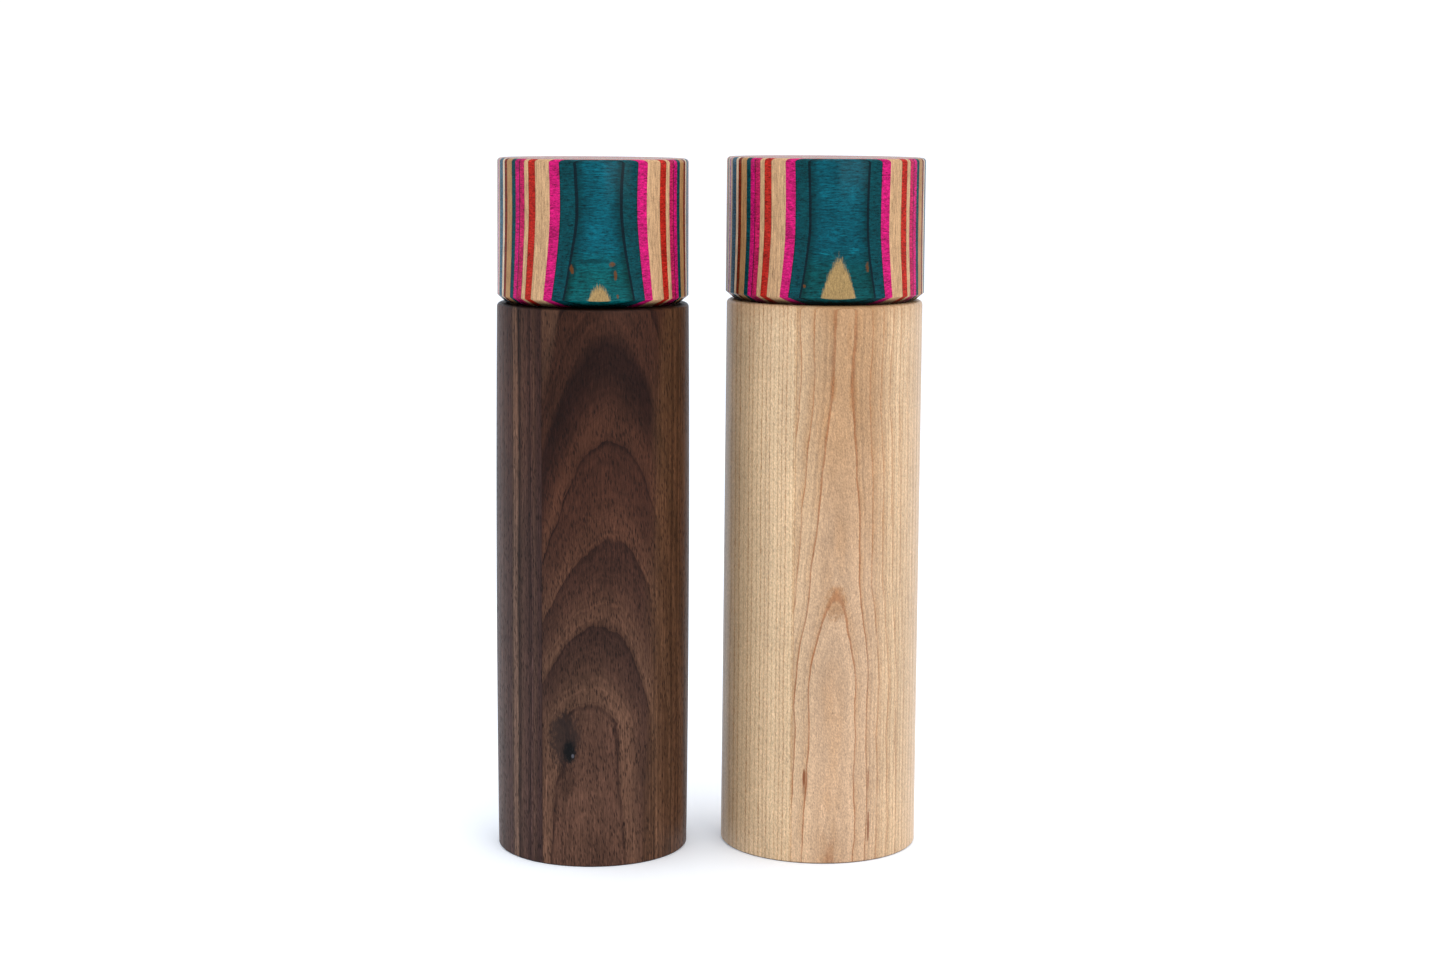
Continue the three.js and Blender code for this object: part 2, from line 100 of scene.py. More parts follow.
def add_lights():
    """A white tent all round, a soft key from the front right, and a large lamp overhead."""
    world = bpy.data.worlds.new("studio")
    world.use_nodes = True
    background = world.node_tree.nodes["Background"]
    background.inputs["Color"].default_value = (0.925, 0.965, 1.0, 1.0)
    background.inputs["Strength"].default_value = 1.08
    bpy.context.scene.world = world
    add_area_light("key", (0.45, -0.80, 0.55), 0.6, 2.4, (1.0, 0.94, 0.86))
    add_area_light("top", (0.05, -0.05, 0.90), 0.8, 2.2, (1.0, 0.98, 0.95))
    view = bpy.context.scene.view_settings
    view.view_transform = "Standard"
    view.look = "None"


def add_floor():
    """A sweep: a floor that curves up into a wall behind the mills."""
    half_width, front, back, height, bend = 4.0, -3.0, 2.2, 3.0, 0.8
    steps = 24
    outline = [(front, 0.0)]
    for i in range(steps + 1):
        angle = i / steps * math.pi / 2
        outline.append((back - bend + bend * math.sin(angle), bend - bend * math.cos(angle)))
    outline.append((back, height))
    vertices = [(side * half_width, y, z) for y, z in outline for side in (-1, 1)]
    faces = [(2 * i, 2 * i + 1, 2 * i + 3, 2 * i + 2) for i in range(len(outline) - 1)]
    mesh = bpy.data.meshes.new("floor")
    mesh.from_pydata(vertices, [], faces)
    mesh.shade_smooth()
    material = bpy.data.materials.new("floor_paper")
    material.use_nodes = True
    shader = material.node_tree.nodes["Principled BSDF"]
    for name, value in (
        ("Base Color", (0.93, 0.945, 0.97, 1.0)),
        ("Roughness", 0.9),
        ("Specular IOR Level", 0.1),
        ("Emission Color", (0.70, 0.80, 1.0, 1.0)),
        ("Emission Strength", 0.12),
    ):
        shader.inputs[name].default_value = value
    mesh.materials.append(material)
    add_object("floor", mesh)


# ---------------------------------------------------------------- node maths


class Value:
    """A node's output, which can be added, multiplied and so on to make further nodes."""

    def __init__(self, tree, socket):
        self.tree = tree
        self.socket = socket

    def __add__(self, other):
        return self.tree.math("ADD", self, other)

    def __radd__(self, other):
        return self.tree.math("ADD", other, self)

    def __sub__(self, other):
        return self.tree.math("SUBTRACT", self, other)

    def __rsub__(self, other):
        return self.tree.math("SUBTRACT", other, self)

    def __mul__(self, other):
        return self.tree.math("MULTIPLY", self, other)

    def __truediv__(self, other):
        return self.tree.math("DIVIDE", self, other)

    def __neg__(self):
        return self * -1.0


class Tree:
    """A material's nodes. Points are in millimetres in the piece's own frame, with z up the mill."""

    def __init__(self, name):
        self.material = bpy.data.materials.new(name)
        self.material.use_nodes = True
        self.nodes = self.material.node_tree.nodes
        self.links = self.material.node_tree.links
        self.shader = self.nodes["Principled BSDF"]
        place = self.nodes.new("ShaderNodeTexCoord")
        split = self.nodes.new("ShaderNodeSeparateXYZ")
        self.links.new(place.outputs["Object"], split.inputs[0])
        self.x, self.y, self.z = (Value(self, split.outputs[i]) / MM for i in range(3))

    def plug(self, source, socket):
        if isinstance(source, Value):
            self.links.new(source.socket, socket)
        elif isinstance(source, tuple) and len(source) == 3 and len(socket.default_value) == 4:
            socket.default_value = (*source, 1.0)
        else:
            socket.default_value = source

    def node(self, kind, sockets, **settings):
        """A new node with its settings, and with values or other nodes plugged into its sockets."""
        node = self.nodes.new("ShaderNode" + kind)
        for name, value in settings.items():
            setattr(node, name, value)
        for key, source in sockets.items():
            self.plug(source, node.inputs[key])
        return node

    def math(self, operation, first, second=0.0):
        node = self.node("Math", {0: first, 1: second}, operation=operation)
        return Value(self, node.outputs[0])

    def vector(self, x, y, z):
        return Value(self, self.node("CombineXYZ", {0: x, 1: y, 2: z}).outputs[0])

    def noise(self, x, y, z, detail=2.0, roughness=0.5):
        """Noise round 0, between about -0.5 and 0.5, with features one unit across."""
        place = self.vector(x, y, z)
        sockets = {"Vector": place, "Scale": 1.0, "Detail": detail, "Roughness": roughness}
        return Value(self, self.node("TexNoise", sockets).outputs[0]) - 0.5

    def bands(self, position, detail=2.0, roughness=0.5):
        """The same along one direction only, so that it makes layers."""
        sockets = {"W": position, "Scale": 1.0, "Detail": detail, "Roughness": roughness}
        return Value(self, self.node("TexNoise", sockets, noise_dimensions="1D").outputs[0]) - 0.5

    def grain(self, across, along, detail=2.0, roughness=0.5, shift=0.0):
        """Noise whose features are so many millimetres across and along the height."""
        return self.noise(self.x / across + shift, self.y / across, self.z / along, detail, roughness)

    def cells(self, x, y, z):
        """Distance from the middle of random cells one unit apart, and a random number for each."""
        node = self.node("TexVoronoi", {"Vector": self.vector(x, y, z), "Scale": 1.0})
        split = self.nodes.new("ShaderNodeSeparateColor")
        self.links.new(node.outputs["Color"], split.inputs[0])
        return Value(self, node.outputs["Distance"]), Value(self, split.outputs[0])

    def rise(self, value, low, high):
        """0 below low and 1 above high, with a smooth step between. low may be above high."""
        sockets = {
            "Value": value, "From Min": min(low, high), "From Max": max(low, high),
            "To Min": float(low > high), "To Max": float(low < high),
        }
        node = self.node("MapRange", sockets, interpolation_type="SMOOTHSTEP")
        return Value(self, node.outputs[0])

    def outside(self, low, high):
        """0 nearer the mill's axis than low and 1 further from it than high."""
        return self.rise(self.x * self.x + self.y * self.y, low ** 2, high ** 2)

    def spot(self, centre, size, waviness=0.0):
        """1 in the middle of an ellipsoid on the surface and 0 outside it, with a ragged edge."""
        place = (self.x, self.y, self.z)
        offsets = [(part - middle) / half for part, middle, half in zip(place, centre, size)]
        squares = [part * part for part in offsets]
        distance = squares[0] + squares[1] + squares[2]
        if waviness:
            distance = distance + self.grain(1.1, 1.6, 4, 0.7, shift=7.0) * waviness * 3.0
        return self.rise(distance, 1.0, 0.2)

    def stain(self, colour, tint, marks, waviness):
        """The colour with a spot of the tint for each (centre, size, share)."""
        for centre, size, share in marks:
            colour = self.mix(self.spot(centre, size, waviness) * share, colour, tint)
        return colour

    def ramp(self, value, stops, interpolation="LINEAR"):
        """Colours, as (place, colour) pairs with places from 0 to 1, and their fourth number on its own."""
        node = self.nodes.new("ShaderNodeValToRGB")
        ramp = node.color_ramp
        ramp.interpolation = interpolation
        for i, (place, colour) in enumerate(stops):
            element = ramp.elements[i] if i < 2 else ramp.elements.new(place)
            element.position = place
            element.color = (*colour, 1.0)[:4]
        self.plug(value, node.inputs[0])
        return Value(self, node.outputs["Color"]), Value(self, node.outputs["Alpha"])

    def mix(self, share, first, second, blend="MIX"):
        settings = {"data_type": "RGBA", "blend_type": blend, "clamp_factor": True}
        node = self.node("Mix", {"Factor": share, 6: first, 7: second}, **settings)
        return Value(self, node.outputs[2])

    def shade(self, colour, amount):
        """Multiplies a colour by 1 plus an amount."""
        node = self.node("VectorMath", {0: colour, "Scale": amount + 1.0}, operation="SCALE")
        return Value(self, node.outputs[0])

    def finish(self, colour, roughness, height, depth, **constants):
        """Plugs the looks into the shader. height is in bumps of depth millimetres."""
        bump = self.node("Bump", {"Strength": 1.0, "Distance": depth * MM, "Height": height})
        self.links.new(bump.outputs[0], self.shader.inputs["Normal"])
        self.plug(colour, self.shader.inputs["Base Color"])
        self.plug(roughness, self.shader.inputs["Roughness"])
        for name, value in constants.items():
            self.shader.inputs[name.replace("_", " ").title().replace("Ior", "IOR")].default_value = value
        return self.material


# ---------------------------------------------------------------- wood

# For each of the walnut's arches, from the lowest up: how strong its line and the shadow inside it are.
ARCHES = (
    (0.0, 0.0), (0.75, 0.15), (0.80, 0.70), (0.30, 0.62), (1.0, 0.28), (0.10, 0.90), (0.0, 0.0), (0.0, 0.0),
)


def walnut():
    dark = (0.015, 0.0062, 0.0046)
    plum = (0.031, 0.0136, 0.0108)
    middle = (0.053, 0.0241, 0.0160)
    light = (0.088, 0.0432, 0.0268)
    russet = (0.088, 0.0405, 0.0190)
    straw = (0.125, 0.0610, 0.0370)
    smoke = (0.0185, 0.0112, 0.0103)
    pore_tint = (0.007, 0.0032, 0.0028)
    knot_tint = (0.003, 0.0030, 0.0035)
    painted_glint = (0.10, 0.10, 0.12)
    t = Tree("walnut")
    x, y, z = t.x, t.y, t.z
    radius = 29.0
    ring_depth = 5.2
    seam = -14.4
    lean = t.rise(z, 36.0, 100.0) * 0.20 - 0.015
    inward = radius - (x * t.math("SINE", lean) - y * t.math("COSINE", lean))
    wander = t.grain(26, 60) * 0.25 + t.grain(3.5, 9, detail=3, shift=3.0) * 0.18

    # The right-hand board is flat sawn, so its rings rise in arches. The knot pushes them aside.
    swell = t.spot((-5.7, -28.5, 34.6), (8.0, 12.0, 12.0))
    climb = z * 0.0475 - z * z * 0.000045 - 0.19 + t.math("MAXIMUM", 44.0 - z, 0.0) * 0.040
    climb = climb - t.rise(z, 100.0, 126.0) * 0.15 + t.rise(z, 130.0, 155.0) * 0.06
    ring = climb + inward / ring_depth + wander + swell * 0.12
    part = t.math("FRACT", ring)
    number = t.math("FLOOR", ring)
    count = len(ARCHES)
    stops = [(max(i - 0.5, 0.0) / count, (line, line, line, dip)) for i, (line, dip) in enumerate(ARCHES)]
    line_share, shadow_share = t.ramp(number / count, stops, "CONSTANT")
    topmost = t.math("GREATER_THAN", number, 5.5)
    right, _ = t.ramp(part, [(0.0, middle), (0.07, light), (0.24, light), (0.50, middle), (1.0, middle)])
    right = t.mix(topmost * 0.35 + 0.35, right, t.mix(0.55, light, middle))
    right = t.mix(t.grain(10, 22, shift=11.0) * 1.5 + 0.75, t.mix(0.45, light, middle), right)
    shadow = t.rise(part, 0.24, 0.92) * shadow_share + topmost * t.rise(part, 0.30, 0.0) * 0.95
    right = t.mix(shadow, right, t.mix(0.30, plum, dark))
    edge = t.rise(part, 0.93, 0.99) + t.rise(part, 0.035, 0.0)
    uneven = t.grain(3, 8, shift=15.0) * 2.5 + 0.8
    right = t.mix(edge * line_share * uneven * 0.9, right, dark)
    right = t.shade(right, t.bands(ring * 11.0, detail=4, roughness=0.7) * 0.9)
    right = t.shade(right, t.math("MAXIMUM", z * -0.0070 + 0.50, -0.50))
    right = t.mix(t.rise(z, 50.0, 125.0), right, (1.04, 0.78, 0.70), blend="MULTIPLY")
    redness = t.rise(x - z * 0.026 + t.grain(6, 60, shift=1.0) * 9.0, 13.0, 18.5)
    right = t.mix(redness * 0.55, right, russet)
    upright = t.bands(x * 1.4 + t.grain(6, 50, shift=13.0) * 2.0, detail=4, roughness=0.7)
    right = t.shade(right, upright * (redness * 1.8 + t.rise(z, 40.0, 5.0) * 0.9 + 0.4))
    streak = t.rise(x + (167.0 - z) * 0.14 + t.grain(3, 20, shift=2.0) * 2.5, -8.4, -10.6)
    streak = streak * t.rise(z + t.grain(2, 9) * 14.0, 134.0, 162.0)
    right = t.mix(streak * 0.5, right, straw)

    # The left-hand board is sawn on the quarter, so its rings are upright stripes.
    stripe = x + y * 0.10 + t.grain(12, 90, shift=5.0) * 1.6 + t.grain(0.8, 9, shift=12.0) * 0.5
    left, _ = t.ramp((stripe + 32.0) / 18.0, [
        (0.05, middle), (0.12, plum), (0.22, middle), (0.36, plum), (0.40, light), (0.45, light),
        (0.48, dark), (0.53, middle), (0.66, plum), (0.72, middle), (0.78, plum),
    ])
    broken = t.grain(1.2, 7.0, shift=19.0) * 4.0 + 1.0
    fine = t.bands(stripe * 3.1 + 5.0, detail=4, roughness=0.8) * broken * 2.8
    left = t.shade(left, t.bands(stripe * 1.1) * 0.9 + fine)
    left = t.shade(left, z * -0.0034 + 0.66)
    left = t.mix(t.rise(z, 140.0, 90.0), left, (0.90, 1.02, 1.14), blend="MULTIPLY")

    side = t.rise(x, seam - 0.05, seam + 0.05)
    glue = t.rise(t.math("ABSOLUTE", x - seam), 0.20, 0.05)
    colour = t.mix(glue * 0.5, t.mix(side, left, right), dark)

    # Long dark pores lie along the grain, and show as dots where the grain is cut across.
    bend = t.grain(9, 30, shift=4.0) * 1.5
    crowd = t.grain(8, 20, shift=8.0) * 1.6 + t.rise(z, 160.0, 80.0) * 0.22
    crowd = crowd + t.rise(part, 0.45, 0.10) * side * 0.12
    distance, chance = t.cells(x / 0.66 + bend, y / 0.66, z / 2.1 + x * 0.8)
    pore = t.rise(distance, 0.44, 0.20) * t.rise(chance + crowd, 0.50, 0.72)
    distance, chance = t.cells(x / 0.42, y / 0.42 + bend, z / 2.0 + 9.0)
    hair = t.rise(distance, 0.44, 0.18) * t.rise(chance + crowd * 0.5, 0.30, 0.6)
    colour = t.shade(t.mix(pore * 0.66, colour, pore_tint), -(hair * 0.45))
    fibre = t.grain(0.34, 4.0, detail=3, roughness=0.75)
    colour = t.shade(colour, fibre * 2.6 + 0.06)
    colour = t.shade(colour, t.grain(11, 26, shift=6.0) * 0.9)

    # The knot: a black heart in a dark halo, with a tail where the branch's grain runs out, and a painted
    # highlight on the heart.
    colour = t.stain(colour, smoke, [((-7.8, -28.5, 39.0), (5.6, 12.0, 10.0), 0.80)], waviness=0.7)
    colour = t.stain(colour, dark, [((-7.2, -28.5, 27.0), (3.4, 12.0, 7.0), 0.42)], waviness=0.9)
    heart = t.spot((-6.1, -28.5, 35.4), (2.4, 12.0, 4.2), waviness=0.5)
    colour = t.mix(heart, colour, knot_tint)
    # Painted highlight: a small pale glint on the knot's heart.
    colour = t.stain(colour, painted_glint, [((-5.2, -28.5, 34.1), (0.55, 12.0, 0.8), 0.7)], waviness=0.1)

    # Painted shade: the outer edge at the joint is darkened where shadow falls in the gap under the head, and
    # a thin line round the foot where it meets the floor.
    colour = t.shade(colour, t.rise(z, 166.2, 166.9) * t.outside(25.0, 26.5) * -0.75)
    colour = t.shade(colour, t.rise(z, 0.50, 0.20) * t.outside(27.6, 28.1) * -0.55)

    roughness = 0.44 + pore * 0.2 + fibre * 0.12 - heart * 0.18
    relief = -(pore * 0.9) - hair * 0.3 + fibre * 0.35 - heart
    looks = {"specular_ior_level": 0.06, "coat_weight": 0.05, "coat_roughness": 0.2}
    return t.finish(colour, roughness, relief, depth=0.04, **looks)


def maple():
    pale = (0.535, 0.368, 0.222)
    cream = (0.620, 0.445, 0.272)
    honey = (0.390, 0.200, 0.082)
    blush = (0.330, 0.160, 0.062)
    amber = (0.370, 0.214, 0.108)
    rose = (0.460, 0.300, 0.186)
    line_tint = (0.290, 0.102, 0.032)
    streak_tint = (0.200, 0.056, 0.014)
    t = Tree("maple")
    x, y, z = t.x, t.y, t.z
    radius = 30.15 - z * 0.003
    seam = -9.8
    lean = z * 0.00052 + t.noise(x / 16.0, y / 16.0, z / 24.0) * 0.10 + 0.050
    inward = radius - (x * t.math("SINE", lean) - y * t.math("COSINE", lean))

    # Rings lie close together near the surface and further apart inside, so the first make arches.
    shallow = t.math("MINIMUM", t.math("MAXIMUM", inward, 0.0), 8.0)
    close = t.math("LOGARITHM", shallow / 4.0 + 1.0, math.e) * 4.3
    close = close + t.math("MAXIMUM", inward - 8.0, 0.0) * 0.36
    climb = t.rise(z, 52.0, 92.0) * 0.95 + t.rise(z, 85.0, 150.0) * 0.70 + t.rise(z, 0.0, 30.0) * 0.16
    ring = climb + close + 0.09 + t.grain(2.5, 11, shift=3.0) * 0.10 + t.grain(1.1, 4.0, shift=17.0) * 0.07
    part = t.math("FRACT", ring)
    number = t.math("FLOOR", ring)
    line = t.rise(part, 0.15, 0.05) * t.rise(part, 0.0, 0.03)
    halo = t.rise(part, 0.60, 0.02) * (t.rise(inward, 12.0, 3.0) * 0.7 + 0.3)
    patchy = t.grain(4, 11, shift=5.0) * 4.0 + 0.8
    deep = t.math("GREATER_THAN", number, 2.5)
    strength = t.bands(number * 2.3 + 0.4, detail=0) * 0.8 + 0.95 - deep * 0.35
    right = t.mix(t.rise(z + t.grain(9, 20, shift=14.0) * 60.0, 60.0, 150.0), rose, amber)
    right = t.mix(t.rise(x, 12.0, 21.0), right, pale)
    near_seam = t.rise(x + t.grain(5, 30, shift=11.0) * 12.0, 1.0, -9.5)
    right = t.mix(near_seam * (t.rise(z, 40.0, 120.0) * 0.30 + 0.40), right, pale)
    right = t.shade(right, t.rise(z, 50.0, 0.0) * 0.10)
    right = t.shade(right, t.rise(part, 0.35, 1.0) * 0.12)
    right = t.mix(halo * patchy * 0.36, right, honey)
    right = t.stain(right, blush, [
        ((6.9, -29.2, 143.0), (1.5, 9.0, 8.0), 0.65),
        ((1.1, -29.2, 144.5), (1.2, 9.0, 5.0), 0.55),
        ((2.6, -29.2, 80.0), (3.8, 9.0, 6.5), 0.60),
        ((5.6, -29.2, 158.0), (0.9, 9.0, 7.0), 0.35),
    ], waviness=0.8)
    right = t.mix(line * strength * (patchy * 0.3 + 0.6) * 0.85, right, line_tint)
    right = t.shade(right, t.bands(ring * 6.0, detail=3) * 0.45)

    # Away from the arches, and on the other board, the rings are upright and close together.
    stripe = x + y * 0.05 + (t.grain(7, 50, shift=5.0) * 0.8 + t.grain(0.8, 1.3, shift=8.0) * 0.45)
    beat = t.math("FRACT", stripe / 1.14 + t.bands(stripe * 0.4) * 0.7)
    dotted = t.grain(0.7, 1.0, shift=9.0) * 2.0 + 0.85
    upright = t.rise(beat, 0.55, 0.90) * t.rise(beat, 1.0, 0.94) * dotted
    upright = upright * (t.bands(stripe * 0.9) * 1.2 + 0.80)
    left = t.mix(t.bands(stripe * 0.25, detail=1) * 2.0 + 0.3, cream, pale)
    # Painted shade: the board darkens towards its left edge, which faces the walnut mill and gets less light.
    left = t.shade(left, t.rise(x, -19.0, -27.0) * -0.18 + 0.06)
    left = t.mix(upright * 0.8, left, blush)
    right = t.mix(t.rise(x, 11.0, 18.0) * upright * 0.6, right, blush)

    side = t.rise(x, seam - 0.04, seam + 0.04)
    glue = t.rise(t.math("ABSOLUTE", x - seam - t.grain(1.0, 1.2) * 0.6), 0.30, 0.08)
    colour = t.mix(glue * 0.6, t.mix(side, left, right), honey)

    # A silky mottle of short flecks, with finer fibre in it.
    mottle = t.noise(x / 0.4 + z / 2.2, y / 0.4, z / 0.7, roughness=0.65)
    fibre = t.grain(0.26, 2.4, detail=3, roughness=0.7, shift=2.0)
    colour = t.shade(colour, mottle * 1.25)
    colour = t.shade(colour, fibre * 0.9)
    colour = t.shade(colour, t.grain(12, 26, shift=6.0) * 0.35)
    colour = t.mix(t.rise(z, 160.0, 168.0) * 0.22, colour, honey)
    distance, chance = t.cells(x / 0.45, y / 0.45, z / 1.6)
    pore = t.rise(distance, 0.34, 0.12) * t.rise(chance, 0.6, 0.8)
    colour = t.shade(colour, -(pore * 0.30))
    colour = t.stain(colour, streak_tint, [
        ((-6.1, -29.2, 26.5), (0.50, 9.0, 3.6), 0.95),
        ((-5.7, -29.2, 24.5), (1.1, 9.0, 6.0), 0.35),
        ((13.4, -26.5, 25.5), (0.34, 9.0, 4.4), 0.60),
        ((13.6, -26.5, 11.0), (0.38, 9.0, 6.4), 0.85),
    ], waviness=0.25)
    # Painted shade: a thin dark line round the foot where it meets the floor.
    colour = t.shade(colour, t.rise(z, 0.50, 0.20) * t.outside(28.7, 29.2) * -0.65)

    roughness = 0.42 + mottle * 0.10 + fibre * 0.10
    relief = mottle * 0.5 + fibre * 0.35 - pore * 0.5
    looks = {"specular_ior_level": 0.25, "coat_weight": 0.10, "coat_roughness": 0.25}
    return t.finish(colour, roughness, relief, depth=0.03, **looks)


# ---------------------------------------------------------------- laminated veneer

# The last number of a colour is 1 where the grain runs across.
TEAL = (0.001, 0.043, 0.053, 1.0)
SLATE = (0.030, 0.085, 0.125, 1.0)
MAGENTA = (0.435, 0.007, 0.115, 1.0)
CERISE = (0.400, 0.012, 0.080, 1.0)
RED = (0.350, 0.016, 0.010, 1.0)
OXBLOOD = (0.130, 0.013, 0.004, 1.0)
LAVENDER = (0.330, 0.170, 0.260, 1.0)
NATURAL = (0.475, 0.290, 0.155, 0.0)
PALE = (0.560, 0.420, 0.290, 0.0)
TAN = (0.350, 0.190, 0.080, 0.0)
PEACH = (0.480, 0.290, 0.200, 0.0)
GLUE = (0.001, 0.010, 0.015, 0.5)

# The thicknesses and colours of each deck's veneers, from front to back.
DECKS = (
    ((1.49, 1.49, 1.36, 1.36, 1.69, 1.20, 1.54), (TEAL, MAGENTA, NATURAL, NATURAL, RED, NATURAL, CERISE)),
    ((1.54, 1.57, 1.25, 1.25, 1.57, 1.29, 1.57), (MAGENTA, TEAL, TAN, TAN, OXBLOOD, PALE, SLATE)),
    ((1.45, 1.35, 1.45, 1.35, 1.45, 1.35, 1.50), (SLATE, PEACH, LAVENDER, PALE, TEAL, NATURAL, RED)),
    ((1.50, 1.40, 1.40, 1.35, 1.45, 1.35, 1.50), (RED, NATURAL, TEAL, NATURAL, MAGENTA, TAN, TEAL)),
    ((1.50, 1.35, 1.45, 1.35, 1.45, 1.35, 1.50), (TEAL, PALE, CERISE, NATURAL, OXBLOOD, NATURAL, MAGENTA)),
    ((1.50, 1.45, 1.35, 1.35, 1.45, 1.35, 1.50), (MAGENTA, SLATE, TAN, NATURAL, RED, NATURAL, TEAL)),
)
FRONT_THICKNESS = 8.0
DECK_GLUE = 0.22
PLY_GLUE = 0.08
STOPS_PER_RAMP = 30


def darker(colour, share):
    return (*(part * share for part in colour[:3]), colour[3])


def layer_stops():
    """Every veneer and glue line, as (depth behind the first deck's front face, colour)."""
    stops = [(-FRONT_THICKNESS, TEAL)]
    depth = 0.0
    for thicknesses, colours in DECKS:
        stops.append((depth - DECK_GLUE / 2, GLUE))
        for i, (thickness, colour) in enumerate(zip(thicknesses, colours)):
            stops.append((depth + (DECK_GLUE if i == 0 else PLY_GLUE) / 2, colour))
            depth += thickness
            if i < len(colours) - 1:
                share = 0.82 if colours[i + 1] == colour else 0.5
                stops.append((depth - PLY_GLUE / 2, darker(colour, share)))
    return stops, depth


def layered(t, position):
    """The colour of each layer, and 1 where its grain runs across, at a depth in millimetres.
    One ramp can't hold every layer, so further ramps take over behind the first."""
    stops, end = layer_stops()
    colour = across = None
    for first in range(0, len(stops), STOPS_PER_RAMP):
        group = stops[first:first + STOPS_PER_RAMP]
        low = group[0][0]
        high = stops[first + STOPS_PER_RAMP][0] if first + STOPS_PER_RAMP < len(stops) else end
        places = [((depth - low) / (high - low), c) for depth, c in group]
        part, part_across = t.ramp((position - low) / (high - low), places, "CONSTANT")
        if colour is None:
            colour, across = part, part_across
        else:
            behind = t.math("GREATER_THAN", position, low)
            colour = t.mix(behind, colour, part)
            across = across + (part_across - across) * behind
    return colour, across


def veneer(name, radius, bottom, top, lean, first_glue, foot, waist, crown, heart, dye, flecks, marks):
    """The layers bow back below the waist, by foot at the very bottom, and above it by crown at the top.
    heart is how far in front of its own bow the plain veneer before the first one starts. dye is
    the strength of the first veneer's sheen, which is partly painted. flecks are brown (x, z, half width,
    half height);
    marks have a change in brightness as well: one that darkens is a mark in the wood, one that lightens a
    painted glint."""
    sheen_tint = (0.001, 0.092, 0.128)
    shade_tint = (0.000, 0.030, 0.038)
    fleck_tint = (0.130, 0.042, 0.008)
    t = Tree(name)
    x, y, z = t.x, t.y, t.z
    towards = x * math.sin(lean) - y * math.cos(lean)
    sideways = x * math.cos(lean) + y * math.sin(lean)
    height = (z - bottom) / (top - bottom)
    below = t.math("POWER", t.math("MAXIMUM", waist - height, 0.0) / waist, 1.6)
    above = t.math("POWER", t.math("MAXIMUM", height - waist, 0.0) / (1 - waist), 2.0)
    bow = below * foot + above * crown
    ripple = t.noise(sideways / 7.0, z / 11.0, towards / 30.0) * 0.09
    depth = radius - towards - bow - first_glue + ripple
    colour, across = layered(t, depth)

    # Dyed veneers show fine level rays where they are seen flat; plain ones show upright fibre.
    rays = t.noise(sideways / 2.4, depth / 1.6, z / 0.42, detail=3, roughness=0.75)
    fleck = t.noise(sideways / 1.0, depth / 0.5, z / 0.30, roughness=0.75)
    fibre = t.noise(sideways / 0.2, depth / 0.16, z / 2.4, detail=3, roughness=0.7)
    grit = t.noise(sideways / 0.3, depth / 0.3, z / 0.4, roughness=0.7)
    streaks = t.noise(sideways / 0.45, depth / 0.35, z / 7.0, detail=3, roughness=0.75)
    texture = fibre * 1.3 + grit * 1.1 + (rays * 2.8 + fleck * 2.0 - fibre * 0.9) * across
    colour = t.shade(colour, texture + streaks * (1.0 - across) * 1.9)

    # The first teal veneer is lightest where it is cut thinnest, partly its own colour and partly a painted
    # sheen, and dark beside the glue.
    sheen = t.rise(depth + t.noise(sideways / 3.0, z / 5.0, 0.0) * 0.4, -0.02, -0.85)
    silk = t.noise(sideways / 3.0, 3.0, z / 0.48, detail=4, roughness=0.8)
    teal = t.mix(sheen, shade_tint, tuple(part * dye for part in sheen_tint))
    teal = t.shade(teal, silk * 4.6 + fleck * 1.6)
    # Marks that lighten the teal are painted glints; marks that darken it are the wood's own.
    for place_x, place_z, half_width, half_height, change in marks:
        spot = t.spot((place_x, -radius, place_z), (half_width, 9.0, half_height), waviness=0.6)
        teal = t.shade(teal, spot * (silk * change * 3.0 + change))
    teal = t.mix(t.rise(z, 187.0, 176.0), teal, (1.0, 0.90, 0.70), blend="MULTIPLY")
    front = t.rise(depth, -0.02, -0.06) * t.rise(depth, -6.0, -5.0)
    colour = t.mix(front, colour, teal)
    colour = t.shade(colour, t.noise(sideways / 5.0, depth / 3.0, z / 6.0, detail=3) * (across * 0.5 + 0.3))

    # The plain veneer in front of it shows only low down, with a feathered edge.
    feather = t.noise(sideways / 0.4, 0.0, z / 2.2, detail=3, roughness=0.7) * 0.32
    plain_share = t.rise(radius - towards - bow * 0.65 + heart + feather, 0.050, -0.050)
    plain = t.shade((0.320, 0.205, 0.082), fibre * 1.8 + grit * 1.2 + feather * 1.5)
    colour = t.mix(plain_share * 0.95, colour, plain)

    # Painted shade: the bevel at the foot is darkened where shadow falls in the gap above the body.
    bevel = t.rise(z, bottom + 0.1, bottom - 1.7) * t.rise(z, bottom - 2.4, bottom - 2.15)
    colour = t.shade(colour, bevel * -0.88)
    for place_x, place_z, half_width, half_height in flecks:
        spot = ((place_x, -radius, place_z), (half_width, 9.0, half_height), 0.75)
        colour = t.stain(colour, fleck_tint, [spot], waviness=1.3)

    roughness = 0.34 + texture * 0.15
    looks = {"specular_ior_level": 0.0, "coat_weight": 0.4, "coat_roughness": 0.16, "coat_ior": 1.30}
    return t.finish(colour, roughness, texture, depth=0.012, **looks)


# ---------------------------------------------------------------- plastics, ceramic and metals


def moulded(name, colour, roughness, grit):
    """Moulded plastic: an even colour with faint flow marks and a fine spark-eroded texture."""
    t = Tree(name)
    flow = t.noise(t.x / 6.0, t.y / 6.0, t.z / 3.0, detail=3)
    fine = t.noise(t.x / 0.18, t.y / 0.18, t.z / 0.18, roughness=0.6)
    tone = t.shade(colour, flow * 0.16 + fine * 0.10)
    return t.finish(tone, roughness + flow * 0.10 + fine * 0.06, fine * grit + flow * 0.2, depth=0.02)


